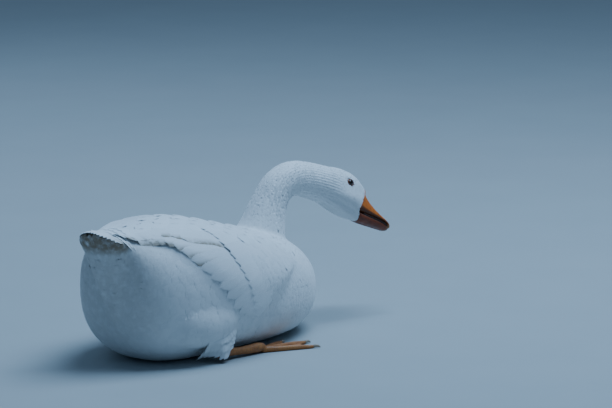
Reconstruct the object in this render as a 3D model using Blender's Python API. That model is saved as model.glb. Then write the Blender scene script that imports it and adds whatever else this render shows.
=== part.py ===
"""A sitting domestic goose of the Embden type, life size, in metres, +Z up.

The goose faces +X, its left side is +Y and it rests on the floor z = 0.
The trunk is a loft of rounded cross-sections along X.  Wings and thighs are
shells laid over it.  The neck is a tube along a bent path and ends at the
head, which is built in a frame of its own and then turned into place.
"""
import bpy
import bmesh
from math import cos, sin, pi, radians, ceil
from mathutils import Vector, Matrix

# ---------------------------------------------------------------- sizes
GAP = 0.0004                 # clear space between neighbouring parts

# Trunk stations: x, height of back, height of belly, half width
TRUNK = (
    (-0.2420, 0.1840, 0.1180, 0.0400),    # cap under the tail
    (-0.2390, 0.1875, 0.0920, 0.0510),    # stern
    (-0.2300, 0.1905, 0.0520, 0.0660),
    (-0.2080, 0.1940, 0.0170, 0.0840),    # paunch
    (-0.1700, 0.1980, 0.0000, 0.0990),
    (-0.1200, 0.1995, -0.0040, 0.1080),   # rump
    (-0.0600, 0.1885, -0.0040, 0.1120),   # middle of the back
    (0.0000, 0.1730, -0.0040, 0.1110),
    (0.0500, 0.1600, -0.0040, 0.1030),    # shoulders
    (0.1000, 0.1470, -0.0030, 0.0870),
    (0.1420, 0.1270, 0.0080, 0.0660),     # breast
    (0.1710, 0.1040, 0.0280, 0.0430),
    (0.1870, 0.0780, 0.0510, 0.0150),     # front of the breast
)
WAIST = 0.46                 # height of the widest line, share of body depth
ROUND_TOP = 2.25             # superellipse powers of the cross-section
ROUND_BELLY = 2.45
TRUNK_RINGS = 26
TRUNK_AROUND = 26

# Wings lie on a guide surface: the trunk's own, carried on over the tail
GUIDE_TAIL = (
    (-0.3000, 0.1965, 0.1200, 0.0500),
    (-0.2600, 0.1955, 0.0900, 0.0600),
)
SHELL_GAP = 0.0016           # wings and thighs clear the trunk's flat facets
WING_FRONT_X = 0.082         # bend of the wing
WING_REAR_X = -0.262         # tips of the folded primaries
WING_THICK = 0.0075
WING_EDGE = 0.0016
WING_ROWS = 22
WING_COLS = 7

TAIL_ROOT_X = -0.2425          # where the fan leaves the trunk
TAIL_TIP_X = -0.2860
TAIL_TIP_Z = 0.2035
TAIL_ROOT_Z = 0.1915
TAIL_HALF_ROOT = 0.0440
TAIL_HALF_TIP = 0.0375
TAIL_ROOF = 0.0130           # fall of the fan from its middle to its sides
TAIL_FEATHERS = 9

# Keel of feathers under the tail, in the middle plane: x, z of its two ends
KEEL_FOOT = (-0.2330, 0.0520)    # on the stern
KEEL_HEAD = (-0.2830, 0.1990)    # just below the tips of the tail
KEEL_HALF = 0.0260               # half width where it leaves the stern
KEEL_CLEAR = 0.0010              # space to the underside of the tail
KEEL_EDGE = 0.0008               # thickness of its thin side edges

# Neck path: x, y, z, radius; the first point is deep in the trunk
NECK = (
    (0.0740, 0.0000, 0.0770, 0.0610),
    (0.0860, 0.0000, 0.1170, 0.0500),
    (0.0990, -0.0010, 0.1520, 0.0365),
    (0.1130, -0.0020, 0.1850, 0.0285),
    (0.1320, -0.0060, 0.2110, 0.0262),
    (0.1620, -0.0130, 0.2190, 0.0258),
)
NECK_CUTS = (0.40, 0.60, 0.80)   # trunk | lower | middle | upper, share of path
NECK_FLAT = 0.93             # neck width over its depth at the base
NECK_FLAT_HEAD = 0.86        # and where it meets the head
NECK_AROUND = 18

# Head frame: origin between the eyes, X along the bill, Z through the crown
HEAD_AT = Vector((0.2640, -0.0278, 0.1922))
HEAD_TURN = radians(-10)     # towards the goose's right
HEAD_PITCH = radians(24)     # bill down
HEAD_ROLL = radians(15)      # crown leaning to the goose's left

# Head stations: x, crown, throat, half width, height of the widest line
HEAD = (
    (-0.0480, 0.0180, -0.0375, 0.0238, -0.0100),
    (-0.0360, 0.0212, -0.0395, 0.0240, -0.0120),
    (-0.0200, 0.0235, -0.0420, 0.0240, -0.0145),
    (-0.0050, 0.0238, -0.0435, 0.0234, -0.0160),
    (0.0080, 0.0222, -0.0442, 0.0216, -0.0165),
    (0.0200, 0.0180, -0.0438, 0.0186, -0.0170),
    (0.0300, 0.0125, -0.0432, 0.0158, -0.0175),
    (0.0400, 0.0060, -0.0424, 0.0140, -0.0190),
)
HEAD_AROUND = 22

GAPE = Vector((0.0200, 0, -0.0300))      # corner of the mouth
CULMEN_BASE = Vector((0.0350, 0, 0.0085))
CHIN = Vector((0.0330, 0, -0.0425))
BILL_TIP_X = 0.0985
# Bill stations: share of length, culmen, lower edge, half width
BILL_UPPER = (
    (0.00, 0.0095, -0.0300, 0.0144),
    (0.15, 0.0020, -0.0300, 0.0137),
    (0.35, -0.0082, -0.0292, 0.0128),
    (0.55, -0.0168, -0.0284, 0.0122),
    (0.75, -0.0232, -0.0288, 0.0118),
    (0.90, -0.0270, -0.0312, 0.0100),
    (0.97, -0.0300, -0.0338, 0.0070),
    (1.00, -0.0325, -0.0346, 0.0030),
)
BILL_LOWER = (
    (0.00, -0.0312, -0.0432, 0.0130),
    (0.15, -0.0312, -0.0436, 0.0126),
    (0.35, -0.0310, -0.0430, 0.0117),
    (0.55, -0.0308, -0.0418, 0.0108),
    (0.75, -0.0318, -0.0405, 0.0098),
    (0.90, -0.0335, -0.0392, 0.0078),
    (0.955, -0.0345, -0.0380, 0.0040),
)
BILL_AROUND = 16

EYE_RADIUS = 0.0058
EYE_AT = Vector((-0.0112, 0.0178, 0.0020))

FOOT_AT = Vector((-0.028, 0.102, 0.0))   # where the toes part, left side
FOOT_TURN = radians(6)                   # toes turned out
TOES = (                                  # name, angle, length, base radius
    ("inner", -20.0, 0.066, 0.0044),
    ("middle", 2.0, 0.084, 0.0048),
    ("outer", 24.0, 0.078, 0.0046),
)
HIND_TOE = (-118.0, 0.0150, 0.0032)
CLAW = 0.0085
SHANK_RADIUS = 0.0068
ANKLE_RADIUS = 0.0072
THIGH_REAR_X = -0.190
THIGH_LENGTH = 0.098
SHANK_LENGTH = 0.070
HOCK_HEIGHT = 0.0120
WEB_THICK = 0.0022


# ---------------------------------------------------------------- helpers
def clear_scene():
    for obj in list(bpy.data.objects):
        bpy.data.objects.remove(obj, do_unlink=True)


def slopes(xs, ys):
    """Monotone cubic slopes at the keys, so a profile never overshoots."""
    steps = [(ys[i + 1] - ys[i]) / (xs[i + 1] - xs[i]) for i in range(len(xs) - 1)]
    out = [steps[0]]
    for a, b in zip(steps, steps[1:]):
        out.append(0.0 if a * b <= 0 else 2 * a * b / (a + b))
    return out + [steps[-1]]


def profile(rows, x, column):
    """Value of one column of a station table at x, by monotone cubics."""
    xs = [row[0] for row in rows]
    ys = [row[column] for row in rows]
    x = min(max(x, xs[0]), xs[-1])
    i = max(k for k in range(len(xs) - 1) if xs[k] <= x)
    m = slopes(xs, ys)
    h = xs[i + 1] - xs[i]
    t = (x - xs[i]) / h
    return (ys[i] * (1 + 2 * t) * (1 - t) ** 2 + h * m[i] * t * (1 - t) ** 2
            + ys[i + 1] * t * t * (3 - 2 * t) + h * m[i + 1] * t * t * (t - 1))


def power(value, exponent):
    return (1 if value >= 0 else -1) * abs(value) ** exponent


def smooth(t):
    t = min(max(t, 0.0), 1.0)
    return t * t * (3 - 2 * t)


def mesh_from(verts, faces, name):
    mesh = bpy.data.meshes.new(name)
    mesh.from_pydata([tuple(v) for v in verts], [], faces)
    mesh.validate()
    bm = bmesh.new()
    bm.from_mesh(mesh)
    bmesh.ops.remove_doubles(bm, verts=bm.verts, dist=2e-6)
    bmesh.ops.dissolve_degenerate(bm, dist=1e-6, edges=bm.edges)
    bmesh.ops.recalc_face_normals(bm, faces=bm.faces)
    bm.to_mesh(mesh)
    bm.free()
    return mesh


def loft(rings, name, caps=True):
    """Closed body through rings of equal point count."""
    n = len(rings[0])
    verts = [p for ring in rings for p in ring]
    faces = []
    for r in range(len(rings) - 1):
        for k in range(n):
            a, b = r * n + k, r * n + (k + 1) % n
            faces.append((a, b, b + n, a + n))
    if caps:
        for start in (0, (len(rings) - 1) * n):
            ring = verts[start:start + n]
            centre = sum(ring, Vector()) / n
            verts.append(centre)
            hub = len(verts) - 1
            faces += [(start + k, start + (k + 1) % n, hub) for k in range(n)]
    return mesh_from(verts, faces, name)


def add(name, mesh, slot, smooth_angle=50):
    obj = bpy.data.objects.new(name, mesh)
    bpy.context.scene.collection.objects.link(obj)
    mesh.materials.clear()
    mesh.materials.append(slot)
    mesh.shade_smooth()
    mesh.set_sharp_from_angle(angle=radians(smooth_angle))
    return obj


def material(name, colour, roughness):
    mat = bpy.data.materials.new(name)
    mat.use_nodes = True
    shader = mat.node_tree.nodes["Principled BSDF"]
    shader.inputs["Base Color"].default_value = (*colour, 1.0)
    shader.inputs["Roughness"].default_value = roughness
    return mat


def boolean(mesh, other, operation, name):
    """The exact union or difference of two closed meshes."""
    a = bpy.data.objects.new("a", mesh)
    b = bpy.data.objects.new("b", other)
    for obj in (a, b):
        bpy.context.scene.collection.objects.link(obj)
    mod = a.modifiers.new("bool", "BOOLEAN")
    mod.operation, mod.solver, mod.object = operation, "EXACT", b
    graph = bpy.context.evaluated_depsgraph_get()
    result = bpy.data.meshes.new_from_object(a.evaluated_get(graph))
    result.name = name
    for obj in (a, b):
        bpy.data.objects.remove(obj)
    bm = bmesh.new()
    bm.from_mesh(result)
    bmesh.ops.remove_doubles(bm, verts=bm.verts, dist=2e-5)
    bmesh.ops.dissolve_degenerate(bm, dist=1e-5, edges=bm.edges)
    bm.to_mesh(result)
    bm.free()
    return result


def moved(mesh, matrix):
    out = mesh.copy()
    out.transform(matrix)
    if matrix.determinant() < 0:
        out.flip_normals()
    return out


MIRROR = Matrix.Scale(-1, 4, Vector((0, 1, 0)))


# ---------------------------------------------------------------- trunk
def section(x, angle, rows, offset=0.0):
    """Point of a body cross-section; angle 0 is the left side, pi/2 the top."""
    top, low, half = (profile(rows, x, c) for c in (1, 2, 3))
    middle = low + WAIST * (top - low)
    up = sin(angle) >= 0
    reach = (top - middle) if up else (middle - low)
    p = 2 / (ROUND_TOP if up else ROUND_BELLY)
    return Vector((x, (half + offset) * power(cos(angle), p),
                   middle + (reach + offset) * power(sin(angle), p)))


def trunk_stations():
    """Ring positions, closer together at the rounded ends."""
    x0, x1 = TRUNK[0][0], TRUNK[-1][0]
    out = []
    for k in range(TRUNK_RINGS + 1):
        t = k / TRUNK_RINGS
        eased = 0.5 - 0.5 * cos(pi * t)
        out.append(x0 + (x1 - x0) * (0.55 * eased + 0.45 * t))
    return out


def trunk_mesh():
    rings = []
    for x in trunk_stations():
        ring = []
        for k in range(TRUNK_AROUND):
            p = section(x, 2 * pi * k / TRUNK_AROUND, TRUNK)
            ring.append(Vector((p.x, p.y, max(p.z, 0.0))))
        rings.append(ring)
    return loft(rings, "trunk")


# ---------------------------------------------------------------- shells
def guide_rows():
    """Trunk stations with the stern replaced by a roof over the tail."""
    return GUIDE_TAIL + TRUNK[2:]


def shell(grid, name):
    """Closed plate from a grid of (inner point, outer point) pairs."""
    rows, cols = len(grid), len(grid[0])
    inner = [cell[0] for row in grid for cell in row]
    outer = [cell[1] for row in grid for cell in row]
    n = rows * cols
    faces = []
    for i in range(rows - 1):
        for j in range(cols - 1):
            a, b, c, d = (i * cols + j, i * cols + j + 1,
                          (i + 1) * cols + j + 1, (i + 1) * cols + j)
            faces.append((a, b, c, d))
            faces.append((d + n, c + n, b + n, a + n))
    rim = ([j for j in range(cols)]
           + [i * cols + cols - 1 for i in range(1, rows)]
           + [(rows - 1) * cols + j for j in range(cols - 2, -1, -1)]
           + [i * cols for i in range(rows - 2, 0, -1)])
    for k, a in enumerate(rim):
        b = rim[(k + 1) % len(rim)]
        faces.append((a, b, b + n, a + n))
    return mesh_from(inner + outer, faces, name)


def guide_normal(x, angle, rows):
    e = 1e-4
    along = section(x + e, angle, rows) - section(x - e, angle, rows)
    round_ = section(x, angle + e, rows) - section(x, angle - e, rows)
    return round_.cross(along).normalized()


def on_guide(x, angle, height, rows):
    p = section(x, angle, rows)
    n = guide_normal(x, angle, rows)
    middle = Vector((x, 0, profile(rows, x, 2)
                     + WAIST * (profile(rows, x, 1) - profile(rows, x, 2))))
    if n.dot(p - middle) < 0:
        n = -n
    return p + n * height


def wing_limits(t):
    """Upper and lower edge angles of the folded wing, t = 0 at the tips."""
    upper = radians(77 - 4 * smooth(t / 0.25) - 24 * smooth((t - 0.60) / 0.40))
    lower = radians(54 - 68 * smooth((t - 0.10) / 0.44) + 38 * smooth((t - 0.64) / 0.36))
    return upper, lower


def wing_mesh():
    """The left wing, folded along the flank, its tips lying over the tail."""
    rows = guide_rows()
    grid = []
    for i in range(WING_ROWS + 1):
        t = i / WING_ROWS
        upper, lower = wing_limits(t)
        line = []
        for j in range(WING_COLS + 1):
            s = j / WING_COLS
            x = WING_REAR_X + (WING_FRONT_X - WING_REAR_X) * t
            x += wing_edge_shift(t, s)
            angle = upper + (lower - upper) * s
            rise = min(1.0, 6 * s, 6 * (1 - s)) * min(1.0, 5 * t + 0.25, 5 * (1 - t))
            full = WING_THICK * (0.45 + 0.55 * smooth(t / 0.45))
            thick = WING_EDGE + (full - WING_EDGE) * smooth(rise)
            line.append((on_guide(x, angle, SHELL_GAP, rows),
                         on_guide(x, angle, SHELL_GAP + thick, rows)))
        grid.append(line)
    return shell(grid, "wing")


def wing_edge_shift(t, s):
    """Rounds the bend of the wing and slants the row of feather tips."""
    bend = -0.016 * smooth((t - 0.80) / 0.20) * (2 * s - 1) ** 2
    tips = 0.030 * (1 - smooth(t / 0.3)) * s
    return bend + tips


def thigh_mesh():
    """The feathered left thigh, a low mound on the rear of the flank."""
    rows = TRUNK
    grid = []
    for i in range(10):
        t = i / 9
        line = []
        half = radians(15.5) * (1 - (2 * t - 1) ** 4) ** 0.5 + radians(2)
        for j in range(6):
            s = 2 * j / 5 - 1
            x = THIGH_REAR_X + THIGH_LENGTH * t
            angle = radians(-23) + s * half
            rise = (1 - s * s) * (1 - (2 * t - 1) ** 2)
            thick = 0.0012 + 0.0085 * rise
            line.append((on_guide(x, angle, SHELL_GAP, rows),
                         on_guide(x, angle, SHELL_GAP + thick, rows)))
        grid.append(line)
    return shell(grid, "thigh")


# ---------------------------------------------------------------- tail
def tail_mesh():
    """A roof-shaped fan; its rear edge is scalloped by the feather tips."""
    rows, cols = 5, 3 * TAIL_FEATHERS
    grid = []
    for i in range(rows + 1):
        t = i / rows
        line = []
        for j in range(cols + 1):
            s = 2 * j / cols - 1
            half = TAIL_HALF_ROOT + (TAIL_HALF_TIP - TAIL_HALF_ROOT) * t
            tip = TAIL_TIP_X + 0.021 * s * s
            tip += 0.0030 * (1 - abs(sin(pi * TAIL_FEATHERS * (s + 1) / 2)) ** 0.6)
            x = TAIL_ROOT_X + (tip - TAIL_ROOT_X) * t
            z = tail_height(t, s)
            low = z - tail_thickness(t, s)
            line.append((Vector((x, half * s, low)), Vector((x, half * s, z))))
        grid.append(line)
    return shell(grid, "tail")


def tail_height(t, s):
    """Height of the fan's upper face; t = 0 at the root, s from side to side."""
    z = TAIL_ROOT_Z + (TAIL_TIP_Z - TAIL_ROOT_Z) * t ** 1.1
    return z - (TAIL_ROOF + 0.012 * (1 - t) ** 2) * s * s


def tail_thickness(t, s):
    return 0.0012 + (0.017 * (1 - s * s) + 0.006) * (1 - t) ** 1.2


def under_tail(x, y):
    """Height of the tail's underside above a point of the floor plan."""
    t = 0.0
    for _ in range(4):
        half = TAIL_HALF_ROOT + (TAIL_HALF_TIP - TAIL_HALF_ROOT) * t
        s = y / half
        tip = TAIL_TIP_X + 0.021 * s * s
        t = min(max((x - TAIL_ROOT_X) / (tip - TAIL_ROOT_X), 0.0), 1.0)
    return tail_height(t, s) - tail_thickness(t, s)


def keel_mesh():
    """Feathers that fill the corner between stern and tail, sharpest in the middle."""
    rows, cols = 12, 12
    slope = (KEEL_HEAD[1] - KEEL_FOOT[1]) / (KEEL_HEAD[0] - KEEL_FOOT[0])
    front = KEEL_FOOT[0] + 0.020
    grid = []
    for i in range(rows + 1):
        t = i / rows
        x = front + (KEEL_HEAD[0] - front) * t
        foot = KEEL_FOOT[1] + slope * min(x - KEEL_FOOT[0], 0.0)
        half = KEEL_HALF * (1 - 0.60 * smooth((t - 0.45) / 0.55))
        line = []
        for j in range(cols + 1):
            s = 2 * j / cols - 1
            roof = under_tail(x, half * s) - KEEL_CLEAR
            low = foot + (roof - foot) * abs(s) ** 1.6
            low = min(low, roof - KEEL_EDGE)
            line.append((Vector((x, half * s, low)), Vector((x, half * s, roof))))
        grid.append(line)
    return shell(grid, "keel")


# ---------------------------------------------------------------- neck
def head_matrix():
    turn = Matrix.Rotation(HEAD_TURN, 4, "Z")
    pitch = Matrix.Rotation(HEAD_PITCH, 4, "Y")
    roll = Matrix.Rotation(-HEAD_ROLL, 4, "X")
    return Matrix.Translation(HEAD_AT) @ turn @ pitch @ roll


def neck_keys():
    """Path keys with the head's rear face as the last one."""
    x, crown, throat, half, _ = HEAD[0]
    end = head_matrix() @ Vector((x - GAP, 0, (crown + throat) / 2))
    keys = [(Vector(k[:3]), k[3]) for k in NECK]
    return keys + [(end, (crown - throat) / 2)]


def neck_point(u):
    """Centre and radius at share u of the path (Catmull-Rom)."""
    keys = neck_keys()
    forward = head_matrix().to_3x3() @ Vector((0.026, 0, 0))
    pts = [2 * keys[0][0] - keys[1][0]] + [k[0] for k in keys]
    pts.append(pts[-1] + forward)
    rad = [keys[0][1]] + [k[1] for k in keys] + [keys[-1][1]]
    n = len(keys) - 1
    i = min(int(u * n), n - 1)
    t = u * n - i
    p0, p1, p2, p3 = pts[i:i + 4]
    r0, r1, r2, r3 = rad[i:i + 4]

    def blend(a, b, c, d):
        return 0.5 * (2 * b + (c - a) * t + (2 * a - 5 * b + 4 * c - d) * t * t
                      + (3 * b - a - 3 * c + d) * t ** 3)
    return blend(p0, p1, p2, p3), blend(r0, r1, r2, r3)


def neck_ring(u, shift=0.0):
    """Ring square to the path; its side axis turns into the head's own."""
    centre, radius = neck_point(u)
    e = 1e-3
    ahead = (neck_point(min(u + e, 1))[0] - neck_point(max(u - e, 0))[0]).normalized()
    if u > 0.999:
        ahead = head_matrix().to_3x3() @ Vector((1, 0, 0))
    lean = smooth((u - 0.45) / 0.55)
    side = Vector((0, 1, 0)).lerp(head_matrix().to_3x3() @ Vector((0, 1, 0)), lean)
    side = (side - ahead * side.dot(ahead)).normalized()
    up = ahead.cross(side)
    flat = NECK_FLAT + (NECK_FLAT_HEAD - NECK_FLAT) * lean
    centre = centre + ahead * shift
    return [centre + side * radius * flat * cos(2 * pi * k / NECK_AROUND)
            + up * radius * sin(2 * pi * k / NECK_AROUND)
            for k in range(NECK_AROUND)]


def neck_mesh(u0, u1, name, step=0.034):
    count = max(3, ceil((u1 - u0) / step))
    rings = []
    for k in range(count + 1):
        u = u0 + (u1 - u0) * k / count
        shift = GAP if (k == 0 and u0 > 0) else 0.0
        rings.append(neck_ring(u, shift))
    return loft(rings, name)


# ---------------------------------------------------------------- head
def oval(x, top, low, half, waist, angle, n_up=2.1, n_down=2.1):
    up = sin(angle) >= 0
    reach = (top - waist) if up else (waist - low)
    p = 2 / (n_up if up else n_down)
    return Vector((x, half * power(cos(angle), p), waist + reach * power(sin(angle), p)))


def mouth_line(z):
    """Forward limit of the feathering at height z."""
    if z > GAPE.z:
        t = (z - GAPE.z) / (CULMEN_BASE.z - GAPE.z)
        return GAPE.x + (CULMEN_BASE.x - GAPE.x) * min(t, 1.2)
    t = (GAPE.z - z) / (GAPE.z - CHIN.z)
    return GAPE.x + (CHIN.x - GAPE.x) * min(t, 1.2)


def head_mesh():
    rings = []
    count = 13
    for k in range(count + 1):
        x = HEAD[0][0] + (HEAD[-1][0] - HEAD[0][0]) * k / count
        top, low, half, waist = (profile(HEAD, x, c) for c in (1, 2, 3, 4))
        rings.append([oval(x, top, low, half, waist, 2 * pi * a / HEAD_AROUND, 2.15, 2.3)
                      for a in range(HEAD_AROUND)])
    mesh = loft(rings, "head")
    mesh = boolean(mesh, mouth_wedge(), "DIFFERENCE", "head")
    for side in (1, -1):
        socket = ball(EYE_RADIUS + GAP, Vector((EYE_AT.x, side * EYE_AT.y, EYE_AT.z)))
        mesh = boolean(mesh, socket, "DIFFERENCE", "head")
    return mesh


def mouth_wedge():
    """Wedge ahead of the feather edge, its point at the corners of the mouth."""
    corners = [(mouth_line(z), z) for z in (0.012, GAPE.z, -0.060)]
    corners += [(0.08, -0.060), (0.08, 0.012)]
    rings = [[Vector((x, y, z)) for x, z in corners] for y in (-0.03, 0.03)]
    return loft(rings, "wedge")


def bill_mesh(rows, name, front_low, n_up, n_down):
    """Half of the bill; the rear rings lean to follow the feather edge."""
    rings = []
    count = 12
    tip = BILL_TIP_X
    last = rows[-1][0]
    for k in range(count + 1):
        s = last * (k / count) ** 0.9
        top, low, half = (profile(rows, s, c) for c in (1, 2, 3))
        waist = low + (top - low) * front_low
        ring = []
        for a in range(BILL_AROUND):
            p = oval(0, top, low, half, waist, 2 * pi * a / BILL_AROUND, n_up, n_down)
            base = mouth_line(p.z) + 2 * GAP
            lean = (1 - s) ** 3
            straight = CULMEN_BASE.x + (tip - CULMEN_BASE.x) * s
            p.x = base * lean + straight * (1 - lean)
            ring.append(p)
        rings.append(ring)
    return loft(rings, name)


def ball(radius, centre, around=16, rows=8):
    rings = []
    for i in range(1, rows):
        t = pi * i / rows
        rings.append([centre + radius * Vector((cos(2 * pi * k / around) * sin(t), cos(t),
                                                sin(2 * pi * k / around) * sin(t)))
                      for k in range(around)])
    verts = [p for ring in rings for p in ring]
    n = around
    faces = []
    for r in range(len(rings) - 1):
        for k in range(n):
            a, b = r * n + k, r * n + (k + 1) % n
            faces.append((a, b, b + n, a + n))
    for start, pole in ((0, 1), ((len(rings) - 1) * n, -1)):
        verts.append(centre + Vector((0, pole * radius, 0)))
        hub = len(verts) - 1
        faces += [(start + k, start + (k + 1) % n, hub) for k in range(n)]
    return mesh_from(verts, faces, "ball")


# ---------------------------------------------------------------- legs
def tube(points, radii, name, around=8, domes=(2, 2)):
    """Round rod through points, kept above the floor; a dome count of 0 is flat."""
    rings = []
    first, last = points[0], points[-1]
    start_dir = (points[1] - first).normalized()
    end_dir = (last - points[-2]).normalized()
    stations = []
    for k in range(domes[0]):
        a = pi / 2 * (1 - (k + 0.35) / domes[0])
        stations.append((first - start_dir * radii[0] * sin(a), radii[0] * cos(a), start_dir))
    for i, p in enumerate(points):
        d = (points[min(i + 1, len(points) - 1)] - points[max(i - 1, 0)]).normalized()
        stations.append((p, radii[i], d))
    for k in range(domes[1]):
        a = pi / 2 * ((k + 0.65) / domes[1])
        stations.append((last + end_dir * radii[-1] * sin(a), radii[-1] * cos(a), end_dir))
    for centre, radius, d in stations:
        side = Vector((0, 0, 1)).cross(d).normalized()
        up = d.cross(side)
        ring = []
        for k in range(around):
            a = 2 * pi * (k + 0.5) / around
            p = centre + (side * cos(a) + up * sin(a)) * radius
            ring.append(Vector((p.x, p.y, max(p.z, 0.0))))
        rings.append(ring)
    return loft(rings, name)


def toe_direction(angle):
    a = radians(angle) + FOOT_TURN
    return Vector((cos(a), sin(a), 0))


def toe_points(angle, length, radius):
    """Toe axis with a slight rise at each joint, from knuckle to claw."""
    d = toe_direction(angle)
    out, radii = [], []
    for k in range(5):
        t = k / 4
        knuckle = 0.0006 * abs(cos(pi * 1.5 * t))
        r = radius * (1 - 0.38 * t) + knuckle
        out.append(FOOT_AT + d * (0.004 + (length - 0.004) * t) + Vector((0, 0, r * 0.86)))
        radii.append(r)
    return out, radii


def foot_mesh():
    mesh = web_mesh()
    for _, angle, length, radius in TOES:
        mesh = boolean(mesh, tube(*toe_points(angle, length, radius), "toe"), "UNION", "foot")
    angle, length, radius = HIND_TOE
    d = toe_direction(angle)
    points = [FOOT_AT + d * length * t + Vector((0, 0, radius * (1.5 - 0.6 * t)))
              for t in (0, 0.5, 1)]
    hind = tube(points, [radius, radius * 0.9, radius * 0.7], "hind")
    mesh = boolean(mesh, hind, "UNION", "foot")
    lift = Vector((0, 0, ankle().z))
    back = ankle() - lift - FOOT_AT
    root = tube([FOOT_AT + lift + back * t for t in (1.0, 0.5, 0.0)],
                [ANKLE_RADIUS, ANKLE_RADIUS, ANKLE_RADIUS * 0.8], "root", 10, (0, 2))
    return boolean(mesh, root, "UNION", "foot")


def ankle():
    """Middle of the flat joint between shank and foot."""
    return FOOT_AT + toe_direction(180) * 0.0150 + Vector((0, 0, 0.0088))


def web_mesh():
    """Skin between the toes, its front edge scooped back between them."""
    grid = []
    spans = 4
    for pair in range(2):
        a0, l0 = TOES[pair][1], TOES[pair][2]
        a1, l1 = TOES[pair + 1][1], TOES[pair + 1][2]
        first = 0 if pair == 0 else 1
        for k in range(first, spans + 1):
            t = k / spans
            scoop = 1 - 0.13 * (1 - (2 * t - 1) ** 2)
            reach = (l0 + (l1 - l0) * t) * 0.96 * scoop
            d = toe_direction(a0 + (a1 - a0) * t)
            line = []
            for m in range(4):
                p = FOOT_AT + d * (0.002 + (reach - 0.002) * m / 3)
                low = Vector((0, 0, 0.0006))
                line.append((p + low, p + low + Vector((0, 0, WEB_THICK))))
            grid.append(line)
    return shell(grid, "web")


def claw_mesh(angle, length, radius):
    d = toe_direction(angle)
    r = radius * 0.62
    start = length + 1.7 * r + 0.0005
    points = [FOOT_AT + d * (start + CLAW * t) + Vector((0, 0, r * (0.95 - 0.35 * t * t)))
              for t in (0, 0.3, 0.6, 0.85, 1.0)]
    radii = [r * 0.8, r * 0.78, r * 0.62, r * 0.4, r * 0.16]
    return tube(points, radii, "claw", 6, (1, 1))


def shank_mesh():
    """Scaled lower leg, lying on the floor from the hock to the toes."""
    end = ankle() + toe_direction(180) * GAP
    points, radii = [], []
    for k in range(6):
        t = k / 5
        lift = (HOCK_HEIGHT - end.z) * (1 - smooth(t / 0.8))
        points.append(end + toe_direction(180) * SHANK_LENGTH * (1 - t) + Vector((0, 0, lift)))
        swell = SHANK_RADIUS * (1.20 - 0.36 * smooth(t / 0.35))
        radii.append(swell + (ANKLE_RADIUS - swell) * smooth((t - 0.6) / 0.4))
    return tube(points, radii, "shank", 10, (3, 0))


# ---------------------------------------------------------------- assembly
def build():
    clear_scene()
    feather = material("white_feather", (0.86, 0.86, 0.84), 0.75)
    flight = material("flight_feather", (0.84, 0.83, 0.80), 0.6)
    orange = material("bill_orange", (0.85, 0.33, 0.07), 0.42)
    nail = material("bill_nail", (0.80, 0.62, 0.50), 0.45)
    eye = material("eye_brown", (0.05, 0.02, 0.01), 0.1)
    scaly = material("leg_orange", (0.85, 0.36, 0.08), 0.5)
    claw = material("claw_horn", (0.55, 0.42, 0.32), 0.45)

    bounds = [0.0, *NECK_CUTS, 1.0]
    trunk = boolean(trunk_mesh(), neck_mesh(0.0, NECK_CUTS[0], "stub"), "UNION", "trunk")
    trunk = boolean(trunk, keel_mesh(), "UNION", "trunk")
    add("trunk", trunk, feather)
    for name, u0, u1 in zip(("lower", "middle", "upper"), bounds[1:], bounds[2:]):
        add("neck_" + name, neck_mesh(u0, u1, "neck"), feather)

    place = head_matrix()
    add("head", moved(head_mesh(), place), feather)
    add("bill_upper", moved(bill_mesh(BILL_UPPER, "upper", 0.30, 2.2, 3.0), place), orange)
    add("bill_lower", moved(bill_mesh(BILL_LOWER, "lower", 0.62, 3.0, 2.2), place), orange)
    add("tail", tail_mesh(), flight)

    wing, thigh = wing_mesh(), thigh_mesh()
    foot, shank = foot_mesh(), shank_mesh()
    claws = [(name, claw_mesh(*size)) for name, *size in TOES]
    for side, turn in (("left", Matrix.Identity(4)), ("right", MIRROR)):
        sign = 1 if side == "left" else -1
        centre = Vector((EYE_AT.x, sign * EYE_AT.y, EYE_AT.z))
        add("eye_" + side, moved(ball(EYE_RADIUS, centre), place), eye)
        add("wing_" + side, moved(wing, turn), flight)
        add("thigh_" + side, moved(thigh, turn), feather)
        add("shank_" + side, moved(shank, turn), scaly)
        add("foot_" + side, moved(foot, turn), scaly)
        for name, mesh in claws:
            add("claw_%s_%s" % (side, name), moved(mesh, turn), claw)
    centre_on_origin()


def centre_on_origin():
    """Puts the middle of the whole goose's box on the origin, floor at z = 0."""
    points = [v.co for obj in bpy.data.objects for v in obj.data.vertices]
    x = (min(p.x for p in points) + max(p.x for p in points)) / 2
    y = (min(p.y for p in points) + max(p.y for p in points)) / 2
    for mesh in {obj.data for obj in bpy.data.objects}:
        mesh.transform(Matrix.Translation((-x, -y, 0)))


build()
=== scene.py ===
"""Looks of a sitting white goose: skin, feathers, bill, eyes, legs, light, camera.

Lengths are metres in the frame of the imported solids: the goose faces +X, its
left side is +Y and the floor is z = 0.  The shape tables repeat those of the
solids, so that each surface here can be made finer than the solid it covers.
They are written in the goose's own frame, whose tail tip is at TAIL_TIP_X, and
place() moves them into the shared frame.
"""
import bpy
import numpy as np
from math import radians, pi
from mathutils import Vector, Matrix
from mathutils.bvhtree import BVHTree


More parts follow.
